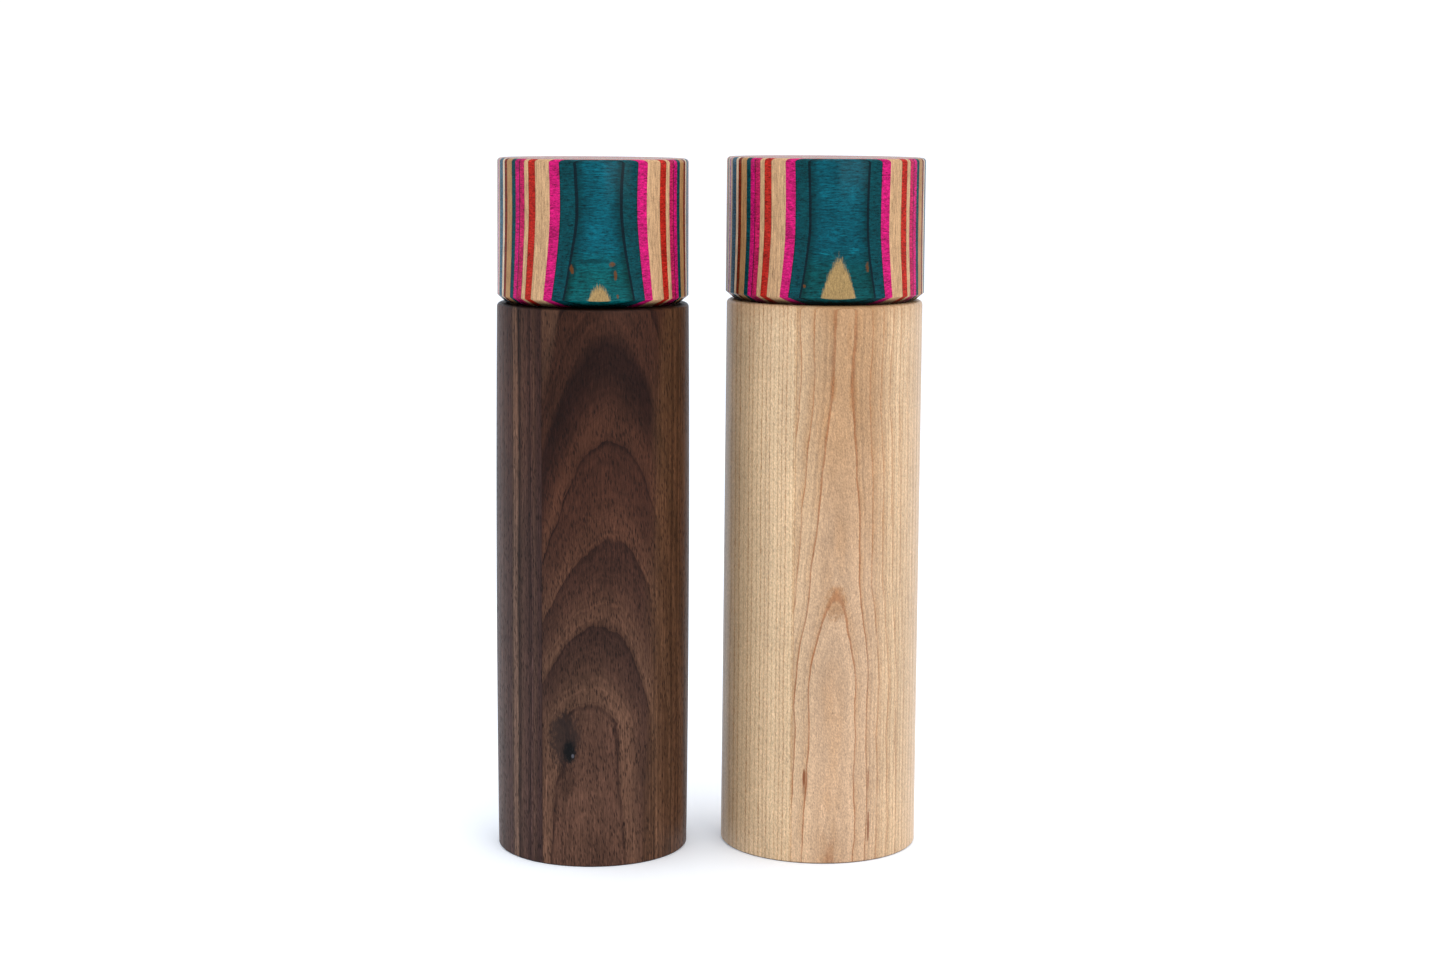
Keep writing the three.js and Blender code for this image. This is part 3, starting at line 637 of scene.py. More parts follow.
def ceramic():
    """Sintered ceramic, off-white and dull, with a fine speckle and faint grey rub marks."""
    t = Tree("ceramic")
    speckle = t.noise(t.x / 0.25, t.y / 0.25, t.z / 0.25, detail=3, roughness=0.7)
    rub = t.rise(t.noise(t.x / 1.4, t.y / 1.4, t.z / 0.4, detail=3), 0.08, 0.30)
    tone = t.mix(rub * 0.35, (0.83, 0.80, 0.73), (0.52, 0.50, 0.46))
    return t.finish(t.shade(tone, speckle * 0.14), 0.48 + speckle * 0.2, speckle, depth=0.015)


def metal(name, colour, roughness, across, along):
    """Metal with fine tool marks so many millimetres across and along the height."""
    t = Tree(name)
    marks = t.grain(across, along, detail=4, roughness=0.7)
    stain = t.noise(t.x / 3.0, t.y / 3.0, t.z / 5.0)
    tone = t.shade(colour, marks * 0.7 + stain * 0.45)
    return t.finish(tone, roughness + marks * 0.35 + stain * 0.25, marks, depth=0.012, metallic=1.0)


# ---------------------------------------------------------------- meshes


def rounded(points, radius=0.0, closed=True):
    """The outline with an arc of that radius, or a smaller one where there is no room, at each corner.
    A point may end with its own radius."""
    nearly_straight = math.radians(87)
    count = len(points)
    result = []
    for i, point in enumerate(points):
        here = np.array(point[:2], float)
        wanted = point[2] if len(point) > 2 else radius
        if wanted == 0 or (not closed and i in (0, count - 1)):
            result.append(tuple(here))
            continue
        before = np.array(points[i - 1][:2], float) - here
        after = np.array(points[(i + 1) % count][:2], float) - here
        before_length, after_length = np.linalg.norm(before), np.linalg.norm(after)
        before, after = before / before_length, after / after_length
        half = math.acos(max(-1.0, min(1.0, float(before @ after)))) / 2
        if half > nearly_straight:
            result.append(tuple(here))
            continue
        reach = min(wanted / math.tan(half), before_length * 0.45, after_length * 0.45)
        size = reach * math.tan(half)
        middle = here + (before + after) / np.linalg.norm(before + after) * size / math.sin(half)
        start, end = here + before * reach - middle, here + after * reach - middle
        from_angle = math.atan2(start[1], start[0])
        turn = math.remainder(math.atan2(end[1], end[0]) - from_angle, FULL)
        steps = max(2, round(abs(turn) / math.radians(18)))
        for step in range(steps + 1):
            angle = from_angle + turn * step / steps
            result.append(tuple(middle + size * np.array([math.cos(angle), math.sin(angle)])))
    return result


def turned(profile, sides=144, reshape=None):
    """Vertices and faces of a solid of revolution from (radius, height) points, anticlockwise.
    The profile closes on itself, or starts and ends on the axis.
    reshape moves each (radius, angle, height)."""
    on_axis = profile[0][0] < 1e-9 and profile[-1][0] < 1e-9
    vertices, rows = [], []
    for radius, height in profile:
        if radius < 1e-9:
            rows.append([len(vertices)] * sides)
            vertices.append((0.0, 0.0, height))
            continue
        rows.append(list(range(len(vertices), len(vertices) + sides)))
        for i in range(sides):
            r, angle, z = radius, i / sides * FULL, height
            if reshape:
                r, angle, z = reshape(r, angle, z)
            vertices.append((r * math.cos(angle), r * math.sin(angle), z))
    faces = []
    for low, high in zip(rows, rows[1:] if on_axis else rows[1:] + rows[:1]):
        for i in range(sides):
            k = (i + 1) % sides
            corners = [low[i], low[k], high[k], high[i]]
            corners = [c for n, c in enumerate(corners) if c != corners[n - 1]]
            if len(corners) > 2:
                faces.append(corners)
    return vertices, faces


def extruded(outline, low, high):
    """Vertices and faces of an outline, anticlockwise, raised from one height to another."""
    count = len(outline)
    vertices = [(x, y, z) for z in (low, high) for x, y in outline]
    faces = [list(range(count))[::-1], list(range(count, 2 * count))]
    faces += [[i, (i + 1) % count, (i + 1) % count + count, i + count] for i in range(count)]
    return vertices, faces


def box_solid(low, high):
    (x0, y0, z0), (x1, y1, z1) = low, high
    return extruded([(x0, y0), (x1, y0), (x1, y1), (x0, y1)], z0, z1)


def swept(line, radius, sides=12):
    """A round wire along a line of points, with flat ends."""
    points = np.array(line, float)
    vertices, faces = [], []
    for i, point in enumerate(points):
        ahead = points[min(i + 1, len(points) - 1)] - points[max(i - 1, 0)]
        ahead /= np.linalg.norm(ahead)
        across = np.cross(ahead, (0, 0, 1))
        across /= np.linalg.norm(across)
        up = np.cross(across, ahead)
        for k in range(sides):
            angle = k / sides * FULL
            vertices.append(tuple(point + radius * (math.cos(angle) * across + math.sin(angle) * up)))
    for i in range(len(points) - 1):
        for k in range(sides):
            n = (k + 1) % sides
            faces.append([i * sides + k, i * sides + n, (i + 1) * sides + n, (i + 1) * sides + k])
    last = (len(points) - 1) * sides
    faces += [list(range(sides))[::-1], list(range(last, last + sides))]
    return vertices, faces


def moved(solid, x, y=0.0):
    vertices, faces = solid
    return [(a + x, b + y, c) for a, b, c in vertices], faces


def to_mesh(solid):
    vertices, faces = solid
    mesh = bpy.data.meshes.new("solid")
    mesh.from_pydata([tuple(part * MM for part in v) for v in vertices], [], faces)
    work = bmesh.new()
    work.from_mesh(mesh)
    bmesh.ops.remove_doubles(work, verts=work.verts, dist=1e-8)
    bmesh.ops.recalc_face_normals(work, faces=work.faces)
    work.to_mesh(mesh)
    work.free()
    return mesh


def from_mesh(mesh):
    """Vertices and faces of a mesh, in millimetres again."""
    vertices = [tuple(part / MM for part in v.co) for v in mesh.vertices]
    return vertices, [list(face.vertices) for face in mesh.polygons]


def combined(solid, tools, operation):
    """A mesh with other solids joined on or cut away."""
    main = add_object("main", to_mesh(solid))
    others = []
    for tool in tools:
        other = add_object("tool", to_mesh(tool))
        others.append(other)
        modifier = main.modifiers.new("combine", "BOOLEAN")
        modifier.object = other
        modifier.operation = operation
        modifier.solver = "EXACT"
    evaluated = main.evaluated_get(bpy.context.evaluated_depsgraph_get())
    result = bpy.data.meshes.new_from_object(evaluated)
    for used in [main, *others]:
        bpy.data.objects.remove(used)
    return result


def soften(mesh, width):
    """Rounds the sharper edges."""
    work = bmesh.new()
    work.from_mesh(mesh)
    limit = math.radians(35)
    edges = [e for e in work.edges if e.is_manifold and e.calc_face_angle(0) > limit]
    settings = {"segments": 2, "profile": 0.6, "affect": "EDGES", "clamp_overlap": True}
    bmesh.ops.bevel(work, geom=edges, offset=width * MM, **settings)
    work.to_mesh(mesh)
    work.free()
    return mesh


# ---------------------------------------------------------------- the two mills

GAP = 0.3
RECESS_RADIUS, RECESS_TOP = 24.4, 6.0
BORE_RADIUS, BORE_TOP = 19.0, 42.4
HOPPER_RADIUS = 14.0
SOCKET_RADIUS, SOCKET_DEPTH = 17.0, 14.0
TENON_RADIUS = 16.6
INSERT_HOLE_RADIUS, INSERT_HOLE_DEPTH = 11.0, 41.0
JOINT_BEVEL_WIDTH, JOINT_BEVEL_HEIGHT = 2.5, 2.1


class Mill:
    """A mill's place and main sizes. What the frame doesn't give is the turning's own shape."""

    def __init__(self, name, foot_radius, shoulder_radius, belly, head_bottom_radius, head_top_radius):
        low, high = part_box(f"{name}_body")
        self.name = name
        self.centre = ((low.x + high.x) / 2, (low.y + high.y) / 2)
        self.body_height = high.z / MM
        self.tenon_bottom, self.height = self.levels("head")
        self.bevel_top = self.body_height + GAP + JOINT_BEVEL_HEIGHT
        self.foot_radius = foot_radius
        self.shoulder_radius = shoulder_radius
        self.belly = belly
        self.head_bottom_radius = head_bottom_radius
        self.head_top_radius = head_top_radius

    def levels(self, part):
        """Lowest and highest point of one of the mill's CAD nodes, in millimetres."""
        low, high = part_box(f"{self.name}_{part}")
        return low.z / MM, high.z / MM

    def radius_at(self, height):
        share = height / self.body_height
        taper = self.foot_radius + (self.shoulder_radius - self.foot_radius) * share
        return taper + self.belly * 4 * share * (1 - share)

    def veneer(self, **looks):
        radius = (self.head_bottom_radius + self.head_top_radius) / 2
        return veneer(f"{self.name}_veneer", radius, self.bevel_top, self.height, **looks)


WALNUT = Mill(
    "walnut", foot_radius=29.0, shoulder_radius=28.8, belly=0.45,
    head_bottom_radius=28.7, head_top_radius=28.55,
)
MAPLE = Mill(
    "maple", foot_radius=30.15, shoulder_radius=29.65, belly=0.0,
    head_bottom_radius=30.0, head_top_radius=29.9,
)

MATERIALS = {
    "walnut_wood": walnut(),
    "maple_wood": maple(),
    "white_plastic": moulded("white_plastic", (0.79, 0.77, 0.71), 0.42, grit=0.4),
    "black_plastic": moulded("black_plastic", (0.014, 0.014, 0.015), 0.46, grit=0.7),
    "ceramic": ceramic(),
    "steel": metal("steel", (0.42, 0.42, 0.43), 0.28, 0.5, 0.15),
    "aluminium": metal("aluminium", (0.50, 0.505, 0.52), 0.34, 0.12, 9.0),
    "walnut_mill_veneer": WALNUT.veneer(
        lean=math.radians(5.1), first_glue=0.69, foot=1.10, waist=0.62, crown=0.24, heart=0.59, dye=0.86,
        flecks=(
            (-5.3, 178.4, 0.7, 1.7), (6.3, 179.9, 1.0, 0.9), (7.2, 176.6, 0.55, 1.6), (7.9, 170.6, 0.5, 0.8),
        ),
        marks=((0.6, 180.9, 5.6, 0.8, -0.45), (-4.9, 178.5, 1.2, 2.6, -0.3), (6.9, 177.5, 1.3, 3.6, -0.3)),
    ),
    "maple_mill_veneer": MAPLE.veneer(
        lean=math.radians(4.1), first_glue=1.16, foot=0.87, waist=0.50, crown=0.20, heart=0.18, dye=0.66,
        flecks=((10.6, 179.5, 0.6, 2.2), (-7.8, 174.0, 0.45, 0.7)),
        marks=((-1.6, 183.9, 2.4, 1.3, 0.55), (6.6, 184.2, 1.6, 1.0, 0.5), (2.0, 200.0, 6.0, 5.0, 0.25)),
    ),
}


def wooden_body(mill, part):
    top = mill.body_height
    socket_bottom = top - SOCKET_DEPTH
    foot = 0.4
    side_steps = 14
    outline = [(mill.foot_radius - foot, 0.0, 0.0)]
    for i in range(side_steps):
        height = foot + (top - foot) * i / side_steps
        outline.append((mill.radius_at(height), height, 0.12 if i == 0 else 0.0))
    outline += [
        (mill.shoulder_radius, top, 1.2), (SOCKET_RADIUS, top, 0.5), (SOCKET_RADIUS, socket_bottom, 0.4),
        (HOPPER_RADIUS, socket_bottom, 0.5), (HOPPER_RADIUS, BORE_TOP, 0.3), (BORE_RADIUS, BORE_TOP, 0.3),
        (BORE_RADIUS, RECESS_TOP, 0.3), (RECESS_RADIUS, RECESS_TOP, 0.3), (RECESS_RADIUS, 0.0, 0.35),
    ]
    return to_mesh(turned(rounded(outline), sides=192))


def wooden_head(mill, part):
    hole_top = mill.tenon_bottom + INSERT_HOLE_DEPTH
    underside = mill.body_height + GAP
    outline = rounded([
        (0.0, hole_top), (INSERT_HOLE_RADIUS, hole_top, 0.4), (INSERT_HOLE_RADIUS, mill.tenon_bottom, 0.5),
        (TENON_RADIUS, mill.tenon_bottom, 0.7), (TENON_RADIUS, underside, 0.2),
        (mill.head_bottom_radius - JOINT_BEVEL_WIDTH, underside, 0.15),
        (mill.head_bottom_radius, mill.bevel_top, 0.25), (mill.head_top_radius, mill.height, 1.1),
        (0.0, mill.height),
    ], closed=False)
    return to_mesh(turned(outline, sides=192))


# ---------------------------------------------------------------- the working parts

PLATE_RADIUS, PLATE_SCREW_HOLE, PLATE_SCREW_OFFSET = 24.1, 1.4, 21.3


def rectangle_radius(angle, half_x, half_y):
    """Radius of a rectangle with slightly rounded corners, in a direction from its middle."""
    sharpness = 16
    across = (abs(math.cos(angle)) / half_x) ** sharpness
    along = (abs(math.sin(angle)) / half_y) ** sharpness
    return (across + along) ** (-1 / sharpness)


def drive_shaft(mill, part):
    bottom, top = mill.levels(part)
    half, journal, collar, groove = 3.0, 4.3, 6.0, 3.5
    square_bottom, collar_bottom, collar_top = 28.5, 33.9, 35.4
    groove_bottom, groove_top, square_top = 43.4, 44.8, 48.0
    hole, hole_top = 1.8, 23.0
    outline = rounded([
        (0.0, hole_top), (hole, hole_top - 0.8), (hole, bottom, 0.15), (half, bottom, 0.3),
        (half, square_bottom), (journal, square_bottom, 0.25), (journal, collar_bottom, 0.1),
        (collar, collar_bottom, 0.3),
        (collar, collar_top, 0.3), (journal, collar_top, 0.1), (journal, groove_bottom, 0.08),
        (groove, groove_bottom, 0.08), (groove, groove_top, 0.08), (journal, groove_top, 0.15),
        (journal, square_top, 0.25), (half, square_top), (half, top - 1.2, 0.2), (half - 1.0, top, 0.2),
        (0.0, top),
    ], closed=False)

    def squared(radius, angle, height):
        in_square = height < square_bottom + 0.01 or height > square_top - 0.01
        if in_square and hole + 0.2 < radius < half + 0.01:
            return rectangle_radius(angle, radius, radius), angle, height
        return radius, angle, height

    return to_mesh(turned(outline, sides=96, reshape=squared))


def shaft_bush(mill, part):
    bottom, top = mill.levels(part)
    bore, sleeve, flange, flange_bottom = 4.6, 5.6, 7.0, top - 1.0
    outline = [(bore, bottom), (sleeve, bottom), (sleeve, flange_bottom)]
    outline += [(flange, flange_bottom), (flange, top), (bore, top)]
    return to_mesh(turned(rounded(outline, 0.2), sides=72))


def shaft_circlip(mill, part):
    """An open ring whose inner edge touches the shaft in places only."""
    bottom, top = mill.levels(part)
    outer, inner, relief, half_opening = 6.1, 3.8, 0.45, math.radians(40)
    steps = 48
    angles = [half_opening + (FULL - 2 * half_opening) * i / steps for i in range(steps + 1)]
    outline = [(outer * math.cos(angle), outer * math.sin(angle)) for angle in angles]
    for i in range(steps + 1):
        angle = FULL - half_opening - (FULL - 2 * half_opening) * i / steps
        radius = inner + (relief if 6 <= i % 16 <= 10 else 0.0)
        outline.append((radius * math.cos(angle), radius * math.sin(angle)))
    return soften(to_mesh(extruded(outline, bottom, top)), 0.08)


ROTOR_WIDEST, ROTOR_SHOULDER = 9.2, 19.5
ROTOR_WIDEST_RADIUS, ROTOR_SHOULDER_RADIUS = 11.5, 9.4
TWIST_PER_HEIGHT = 0.02


def rotor_tip(height):
    """Radius of the rotor's tooth tips on its grinding cone."""
    share = (height - ROTOR_WIDEST) / (ROTOR_SHOULDER - ROTOR_WIDEST)
    return ROTOR_WIDEST_RADIUS + (ROTOR_SHOULDER_RADIUS - ROTOR_WIDEST_RADIUS) * share


def saw(angle, teeth):
    """A saw tooth from 0 at its tip to 1 at its root, with a short steep side."""
    part = (angle / FULL * teeth) % 1.0
    steep = 0.25
    return part / (1 - steep) if part < 1 - steep else (1 - part) / steep


def rotor_burr(mill, part):
    bottom, top = mill.levels(part)
    hole, foot_radius, rim, rim_radius, top_radius = 3.3, 10.6, top - 0.4, 6.9, 6.4
    feed_heights, feed_radii = (ROTOR_SHOULDER, 23.5, top), (ROTOR_SHOULDER_RADIUS, 8.5, 6.8)
    teeth, fine_depth, feed_depth = 12, 0.8, 2.2
    cone_rows, feed_rows = 10, 6
    outline = [(hole, bottom), (foot_radius, bottom)]
    for i in range(cone_rows + 1):
        height = ROTOR_WIDEST + (ROTOR_SHOULDER - ROTOR_WIDEST) * i / cone_rows
        outline.append((rotor_tip(height), height))
    for i in range(1, feed_rows):
        height = ROTOR_SHOULDER + (rim - ROTOR_SHOULDER) * (i / feed_rows)
        outline.append((np.interp(height, feed_heights, feed_radii), height))
    outline += [(rim_radius, rim), (top_radius, top), (hole, top)]

    def cut_teeth(radius, angle, height):
        if radius < hole + 0.01:
            return rectangle_radius(angle, hole, hole), angle, height
        share = max(0.0, (height - ROTOR_SHOULDER) / (top - ROTOR_SHOULDER))
        depth = fine_depth + (feed_depth - fine_depth) * share
        twist = (height - bottom) * TWIST_PER_HEIGHT * (1 + share)
        return radius - depth * saw(angle, teeth), angle + twist, height

    return to_mesh(turned(outline, sides=192, reshape=cut_teeth))


def burr_ring(mill, part):
    bottom, top = mill.levels(part)
    outer, mouth, mouth_depth, clearance, chamfer = 14.2, 12.7, 0.8, 0.38, 0.25
    teeth, depth, rows = 18, 0.7, 10
    inner_top = top - mouth_depth
    outline = [(rotor_tip(bottom) + clearance, bottom), (outer - chamfer, bottom), (outer, bottom + chamfer)]
    outline += [(outer, top - chamfer), (outer - chamfer, top), (mouth, top)]
    for i in range(rows):
        height = inner_top + (bottom - inner_top) * i / rows
        outline.append((rotor_tip(height) + clearance, height))

    def cut_teeth(radius, angle, height):
        if radius < mouth - 0.01 and height < top - 0.1:
            turn = (bottom - height) * TWIST_PER_HEIGHT
            return radius + depth * saw(-angle, teeth), angle + turn, height
        return radius, angle, height

    return to_mesh(turned(outline, sides=216, reshape=cut_teeth))


def rotor_washer(mill, part):
    bottom, top = mill.levels(part)
    inner, outer = 1.9, 5.2
    outline = rounded([(inner, bottom), (outer, bottom), (outer, top), (inner, top)], 0.18)
    return to_mesh(turned(outline, sides=96))


def screw(head_outline, radius, depth, pitch, low, high, tip, slot):
    """A mesh of a screw, from an outline for its head. Its helical thread runs out towards the tip.
    slot is the length, width and depth of each arm of the cross in the head."""
    rows = int((high - low) / (pitch / 8))
    outline = rounded(head_outline, closed=False)
    outline += [(radius, low + (high - low) * i / rows) for i in range(rows + 1)]
    outline += [(radius * 0.5, high + (tip - high) * 0.6), (0.0, tip)]

    def helix(r, angle, height):
        if low - 1e-6 < height < high + 1e-6 and abs(r - radius) < 0.01:
            phase = (height / pitch - angle / FULL) % 1.0
            fade = min(1.0, (height - low) / pitch, (high - height) / pitch)
            return r - depth * fade * abs(2 * phase - 1), angle, height
        return r, angle, height

    length, width, slot_depth = slot
    bottom = head_outline[0][1]
    arms = [
        box_solid((-x / 2, -y / 2, bottom - slot_depth), (x / 2, y / 2, bottom + slot_depth))
        for x, y in ((length, width), (width, length))
    ]
    return combined(turned(outline, sides=40, reshape=helix), arms, "DIFFERENCE")


def rotor_screw(mill, part):
    bottom, top = mill.levels(part)
    head_top, head, shank = 6.4, 3.0, 1.5
    outline = [(0.0, bottom), (1.7, bottom, 0.3), (head, bottom + 0.9, 0.6)]
    outline += [(head, head_top, 0.1), (shank, head_top)]
    return screw(outline, shank, 0.25, 0.7, head_top + 0.3, top - 1.0, top, (3.2, 0.7, 0.9))


def plate_screw(mill, part):
    bottom, top = mill.levels(part)
    low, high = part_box(f"{mill.name}_{part}")
    offset = (low.x + high.x) / 2 / MM - mill.centre[0] / MM
    head, shank, cone_top = 2.0, 1.1, 2.3
    outline = [(0.0, bottom), (head, bottom, 0.12), (shank, cone_top)]
    mesh = screw(outline, shank, 0.28, 1.1, cone_top + 0.2, top - 2.0, top, (2.4, 0.5, 0.6))
    turn = math.copysign(0.6, offset)
    mesh.transform(Matrix.Translation((offset * MM, 0, 0)) @ Matrix.Rotation(turn, 4, "Z"))
    return mesh


def grinder_housing(mill, part):
    bottom, top = mill.levels(part)
    flange_top, outer, inner, shoulder, throat = 5.7, 18.7, 16.6, 30.0, 14.2
    key_radius, key_half_width, key_top = 17.4, 1.6, 26.0
    hub_inner, hub_outer, hub_bottom = 5.9, 7.4, 36.0
    spoke_middle, spoke_half_length, spoke_half_width = 10.7, 4.0, 1.2
    rib_count, rib_half_width = 12, 0.5
    tube = turned(rounded([
        (inner, bottom, 0.2), (PLATE_RADIUS, bottom, 0.3), (PLATE_RADIUS, flange_top, 0.3),
        (outer, flange_top, 0.15), (outer, top, 0.5), (throat, top, 0.5), (throat, shoulder, 0.3),
        (inner, shoulder, 0.15),
    ]), sides=144)
    hub = [(hub_inner, hub_bottom), (hub_outer, hub_bottom), (hub_outer, top), (hub_inner, top)]
    tools = [turned(rounded(hub, 0.25), sides=72)]
    low, high = (-spoke_half_length, -spoke_half_width), (spoke_half_length, spoke_half_width)
    spoke = box_solid((*low, hub_bottom + 0.2), (*high, top - 0.2))
    tools += [moved(spoke, side * spoke_middle) for side in (-1, 1)]
    for i in range(rib_count):
        low, high = (outer - 0.6, -rib_half_width), (outer + 0.22, rib_half_width)
        vertices, faces = box_solid((*low, flange_top + 2), (*high, top - 3))
        turn = Matrix.Rotation((i + 0.5) / rib_count * FULL, 3, "Z")
        tools.append(([tuple(turn @ Vector(v)) for v in vertices], faces))
    solid = from_mesh(combined(tube, tools, "UNION"))
    low, high = bottom - 1, flange_top + 1
    hole = turned([(0, low), (PLATE_SCREW_HOLE, low), (PLATE_SCREW_HOLE, high), (0, high)], sides=32)
    key = box_solid((-key_half_width, -key_radius, flange_top), (key_half_width, key_radius, key_top))
    holes = [moved(hole, side * PLATE_SCREW_OFFSET) for side in (-1, 1)]
    return combined(solid, [*holes, key], "DIFFERENCE")


def retainer_plate(mill, part):
    bottom, top = mill.levels(part)
    inner, groove_inner, groove_outer, groove_top = 14.4, 15.6, 18.3, bottom + 0.25
    sink_radius, sink_bottom, sink_top = 2.3, 1.3, 2.3
    outline = rounded([
        (inner, bottom, 0.35), (groove_inner, bottom, 0.1), (groove_inner + 0.3, groove_top, 0.1),
        (groove_outer - 0.3, groove_top, 0.1), (groove_outer, bottom, 0.1), (PLATE_RADIUS, bottom, 0.5),
        (PLATE_RADIUS, top, 0.2), (inner, top, 0.2),
    ])
    low, high = bottom - 1, top + 1
    sink = turned([
        (0, low), (sink_radius, low), (sink_radius, sink_bottom), (PLATE_SCREW_HOLE, sink_top),
        (PLATE_SCREW_HOLE, high), (0, high),
    ], sides=48)
    tools = [moved(sink, side * PLATE_SCREW_OFFSET) for side in (-1, 1)]
    # Dots of growing size along the adjuster's travel show which way is coarser.
    dot_count, dot_circle, dot_top = 7, 16.95, bottom + 0.55
    for i in range(dot_count):
        angle = math.radians(270 + i * 25)
        size = 0.28 + 0.09 * i
        dot = rounded([(0, low), (size, low), (size, dot_top, 0.15), (0, dot_top)], closed=False)
        tools.append(moved(turned(dot, sides=20), dot_circle * math.cos(angle), dot_circle * math.sin(angle)))
    return combined(turned(outline, sides=192), tools, "DIFFERENCE")


RAMP_RISE, RAMP_RUN, RAMP_END, RAMP_FOOT = 1.2, 150, 160, 170


def ramp_height(angle):
    """Two equal rises in a turn, each level at its end before it drops."""
    along = (90 - math.degrees(angle)) % 180
    if along > RAMP_END:
        return RAMP_RISE * max(0.0, 1 - (along - RAMP_END) / (RAMP_FOOT - RAMP_END))
    return RAMP_RISE * min(1.0, along / RAMP_RUN)


def adjuster_knob(mill, part):
    bottom, _ = mill.levels(part)
    inner, grip, flange, flange_bottom, flange_top, dish_radius, dish = 10.8, 14.1, 16.2, 3.1, 5.1, 13.8, 4.6
    scallops, scallop_depth, scallop_reach = 12, 0.45, 12.2
    outline = rounded([
        (inner, bottom, 0.35), (grip, bottom, 0.35), (grip, flange_bottom, 0.1),
        (flange, flange_bottom, 0.15), (flange, flange_top, 0.12), (grip, flange_top, 0.12),
        (dish_radius, dish, 0.1), (inner, dish, 0.2),
    ])

    def shaped(radius, angle, height):
        if radius < scallop_reach:
            wave = 0.5 - 0.5 * math.cos(angle * scallops)
            share = (scallop_reach - radius) / (scallop_reach - inner)
            return radius + scallop_depth * (1 - wave ** 2) * share, angle, height
        if radius > dish_radius - 0.1 and height > dish:
            lift = min(1.0, (height - dish) / (flange_top - 0.12 - dish))
            return radius, angle, height + ramp_height(angle) * lift
        return radius, angle, height

    knob = from_mesh(to_mesh(turned(outline, sides=240, reshape=shaped)))
    # A raised bar shows where the adjuster stands.
    bar = box_solid((-0.55, -13.7, bottom - 0.25), (0.55, -11.9, bottom + 0.4))
    return combined(knob, [bar], "UNION")


def ring_carrier(mill, part):
    """A cup with a foot on each of the adjuster's ramps and a key in each of the housing's grooves."""
    bottom, top = mill.levels(part)
    inner, outer, lip, shell_bottom, lip_top = 14.5, 16.2, 13.0, 6.7, 8.3
    outline = rounded([
        (lip, shell_bottom, 0.2), (outer, shell_bottom, 0.2), (outer, top, 0.25),
        (inner, top, 0.25), (inner, lip_top, 0.1), (lip, lip_top, 0.2),
    ])
    foot, key = (14.3, 16.0, 1.7, bottom, 8.0), (15.5, 17.1, 1.3, 9.0, 17.0)
    tools = []
    for side in (-1, 1):
        for near, far, half_width, low, high in (foot, key):
            front, back = sorted((side * near, side * far))
            tools.append(box_solid((-half_width, front, low), (half_width, back, high)))
    return combined(turned(outline, sides=144), tools, "UNION")


def ring_spring(mill, part):
    bottom, top = mill.levels(part)
    radius, wire, turns, closeness = 15.35, 0.5, 5, 0.3
    steps = turns * 40
    low, high = bottom + wire, top - wire
    line = []
    for i in range(steps + 1):
        share = i / steps
        eased = share - closeness * math.sin(FULL * share) / FULL
        angle = share * turns * FULL
        line.append((radius * math.cos(angle), radius * math.sin(angle), low + (high - low) * eased))
    return to_mesh(swept(line, wire))


def head_insert(mill, part):
    """A barbed plug with a square socket for the shaft, and a slot above it for the clip."""
    bottom, top = mill.levels(part)
    half, mouth, barb, waist, barbs = 3.5, 0.8, 10.7, 9.6, 5
    slot_bottom, slot_top, slot_radius, slot_x = bottom + 22.0, bottom + 37.6, 2.6, 4.2
    pitch = (top - bottom) / barbs
    outline = [(0.0, slot_top), (slot_radius, slot_top), (slot_radius, slot_bottom), (half, slot_bottom)]
    outline += [(half, bottom + 1.0), (half + mouth, bottom), (barb, bottom)]
    for i in range(barbs):
        level = bottom + pitch * i
        outline += [(barb, level + pitch * 0.25), (waist, level + pitch * 0.4)]
        if i < barbs - 1:
            outline += [(waist, level + pitch * 0.6), (barb, level + pitch)]
    outline += [(waist, top - 0.5), (waist - 0.5, top), (0.0, top)]

    def shaped(radius, angle, height):
        if slot_radius + 0.1 < radius < half + mouth + 0.1 and height < slot_bottom + 0.01:
            return rectangle_radius(angle, radius, radius), angle, height
        if abs(radius - slot_radius) < 0.01:
            return rectangle_radius(angle, slot_x, half), angle, height
        return radius, angle, height

    return to_mesh(turned(rounded(outline, 0.15, closed=False), sides=120, reshape=shaped))


def insert_clip(mill, part):
    bottom, top = mill.levels(part)
    half, strip, depth = 3.8, 0.5, 4.4
    inner = half - strip
    outline = rounded([
        (-half, bottom, 0.1), (-inner, bottom, 0.1), (-inner, top - strip, 0.8), (inner, top - strip, 0.8),
        (inner, bottom, 0.1), (half, bottom, 0.1), (half, top, 1.2), (-half, top, 1.2),
    ])
    vertices, faces = extruded(outline, -depth / 2, depth / 2)
    return soften(to_mesh(([(x, -y, z) for x, z, y in vertices], faces)), 0.06)


# ---------------------------------------------------------------- every piece of both mills

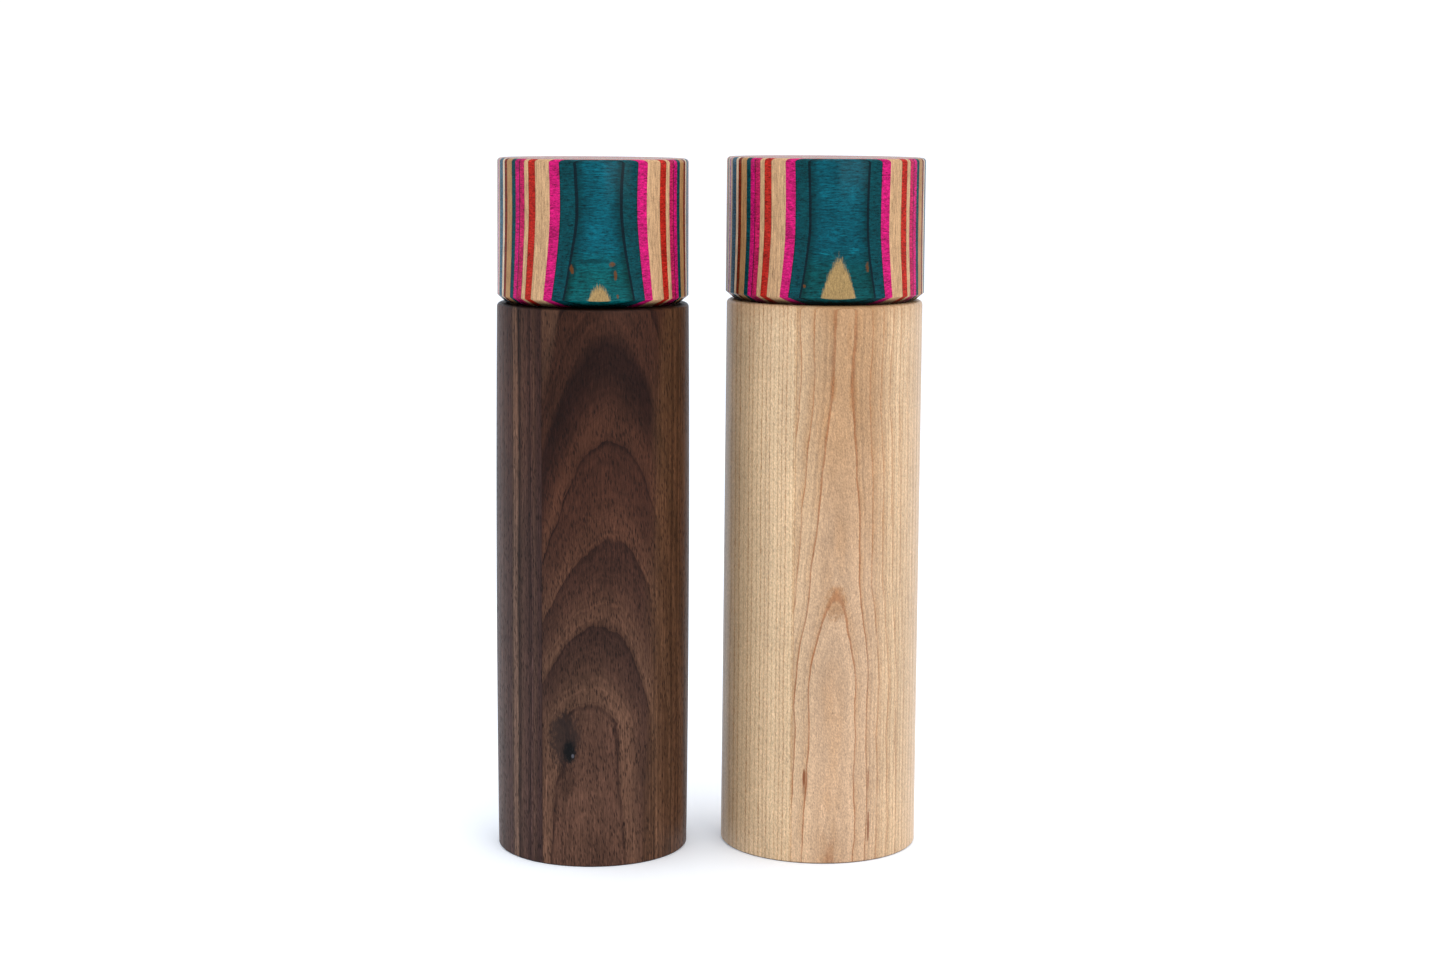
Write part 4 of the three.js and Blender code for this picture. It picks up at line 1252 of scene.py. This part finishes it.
# Each part's rigid body, material, maker, and the angle in degrees above which its edges stay sharp.
PARTS = (
    ("body", "mill", "{}_wood", wooden_body, 32),
    ("head", "cap", "{}_mill_veneer", wooden_head, 32),
    ("head_insert", "cap", "white_plastic", head_insert, 38),
    ("insert_clip", "cap", "steel", insert_clip, 32),
    ("drive_shaft", "drive", "aluminium", drive_shaft, 32),
    ("shaft_bush", "mill", "white_plastic", shaft_bush, 32),
    ("shaft_circlip", "drive", "steel", shaft_circlip, 32),
    ("rotor_burr", "drive", "ceramic", rotor_burr, 38),
    ("burr_ring", "ring", "ceramic", burr_ring, 38),
    ("rotor_washer", "drive", "steel", rotor_washer, 32),
    ("rotor_screw", "drive", "steel", rotor_screw, 32),
    ("grinder_housing", "mill", "black_plastic", grinder_housing, 32),
    ("retainer_plate", "mill", "black_plastic", retainer_plate, 32),
    ("plate_screw_left", "mill", "steel", plate_screw, 32),
    ("plate_screw_right", "mill", "steel", plate_screw, 32),
    ("adjuster_knob", "adjuster", "black_plastic", adjuster_knob, 32),
    ("ring_carrier", "ring", "black_plastic", ring_carrier, 32),
    ("ring_spring", "mill", "steel", ring_spring, 32),
)


def add_piece(mill, part, body, slot, mesh, sharp):
    """Places a mesh on a mill's axis in place of the CAD node, and lets it ride on the mill's body."""
    node = f"{mill.name}_{part}"
    mesh.name = f"{node}_fine"
    mesh.materials.clear()
    mesh.materials.append(MATERIALS[slot])
    mesh.shade_smooth()
    mesh.set_sharp_from_angle(angle=math.radians(sharp))
    piece = add_object(f"{node}_fine", mesh)
    piece.location = (*mill.centre, 0.0)
    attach(piece, f"{mill.name}_{body}")
    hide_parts(node)
    return piece


def squeeze_spring(mill, piece):
    """Gives the spring piece its own copy of its mesh."""
    bottom, top = mill.levels("ring_spring")
    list(mill.centre)
    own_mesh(piece)


add_camera()
add_lights()
add_floor()
for mill in (WALNUT, MAPLE):
    for part, body, slot, make, sharp in PARTS:
        piece = add_piece(mill, part, body, slot.format(mill.name), make(mill, part), sharp)
        if part == "ring_spring":
            squeeze_spring(mill, piece)
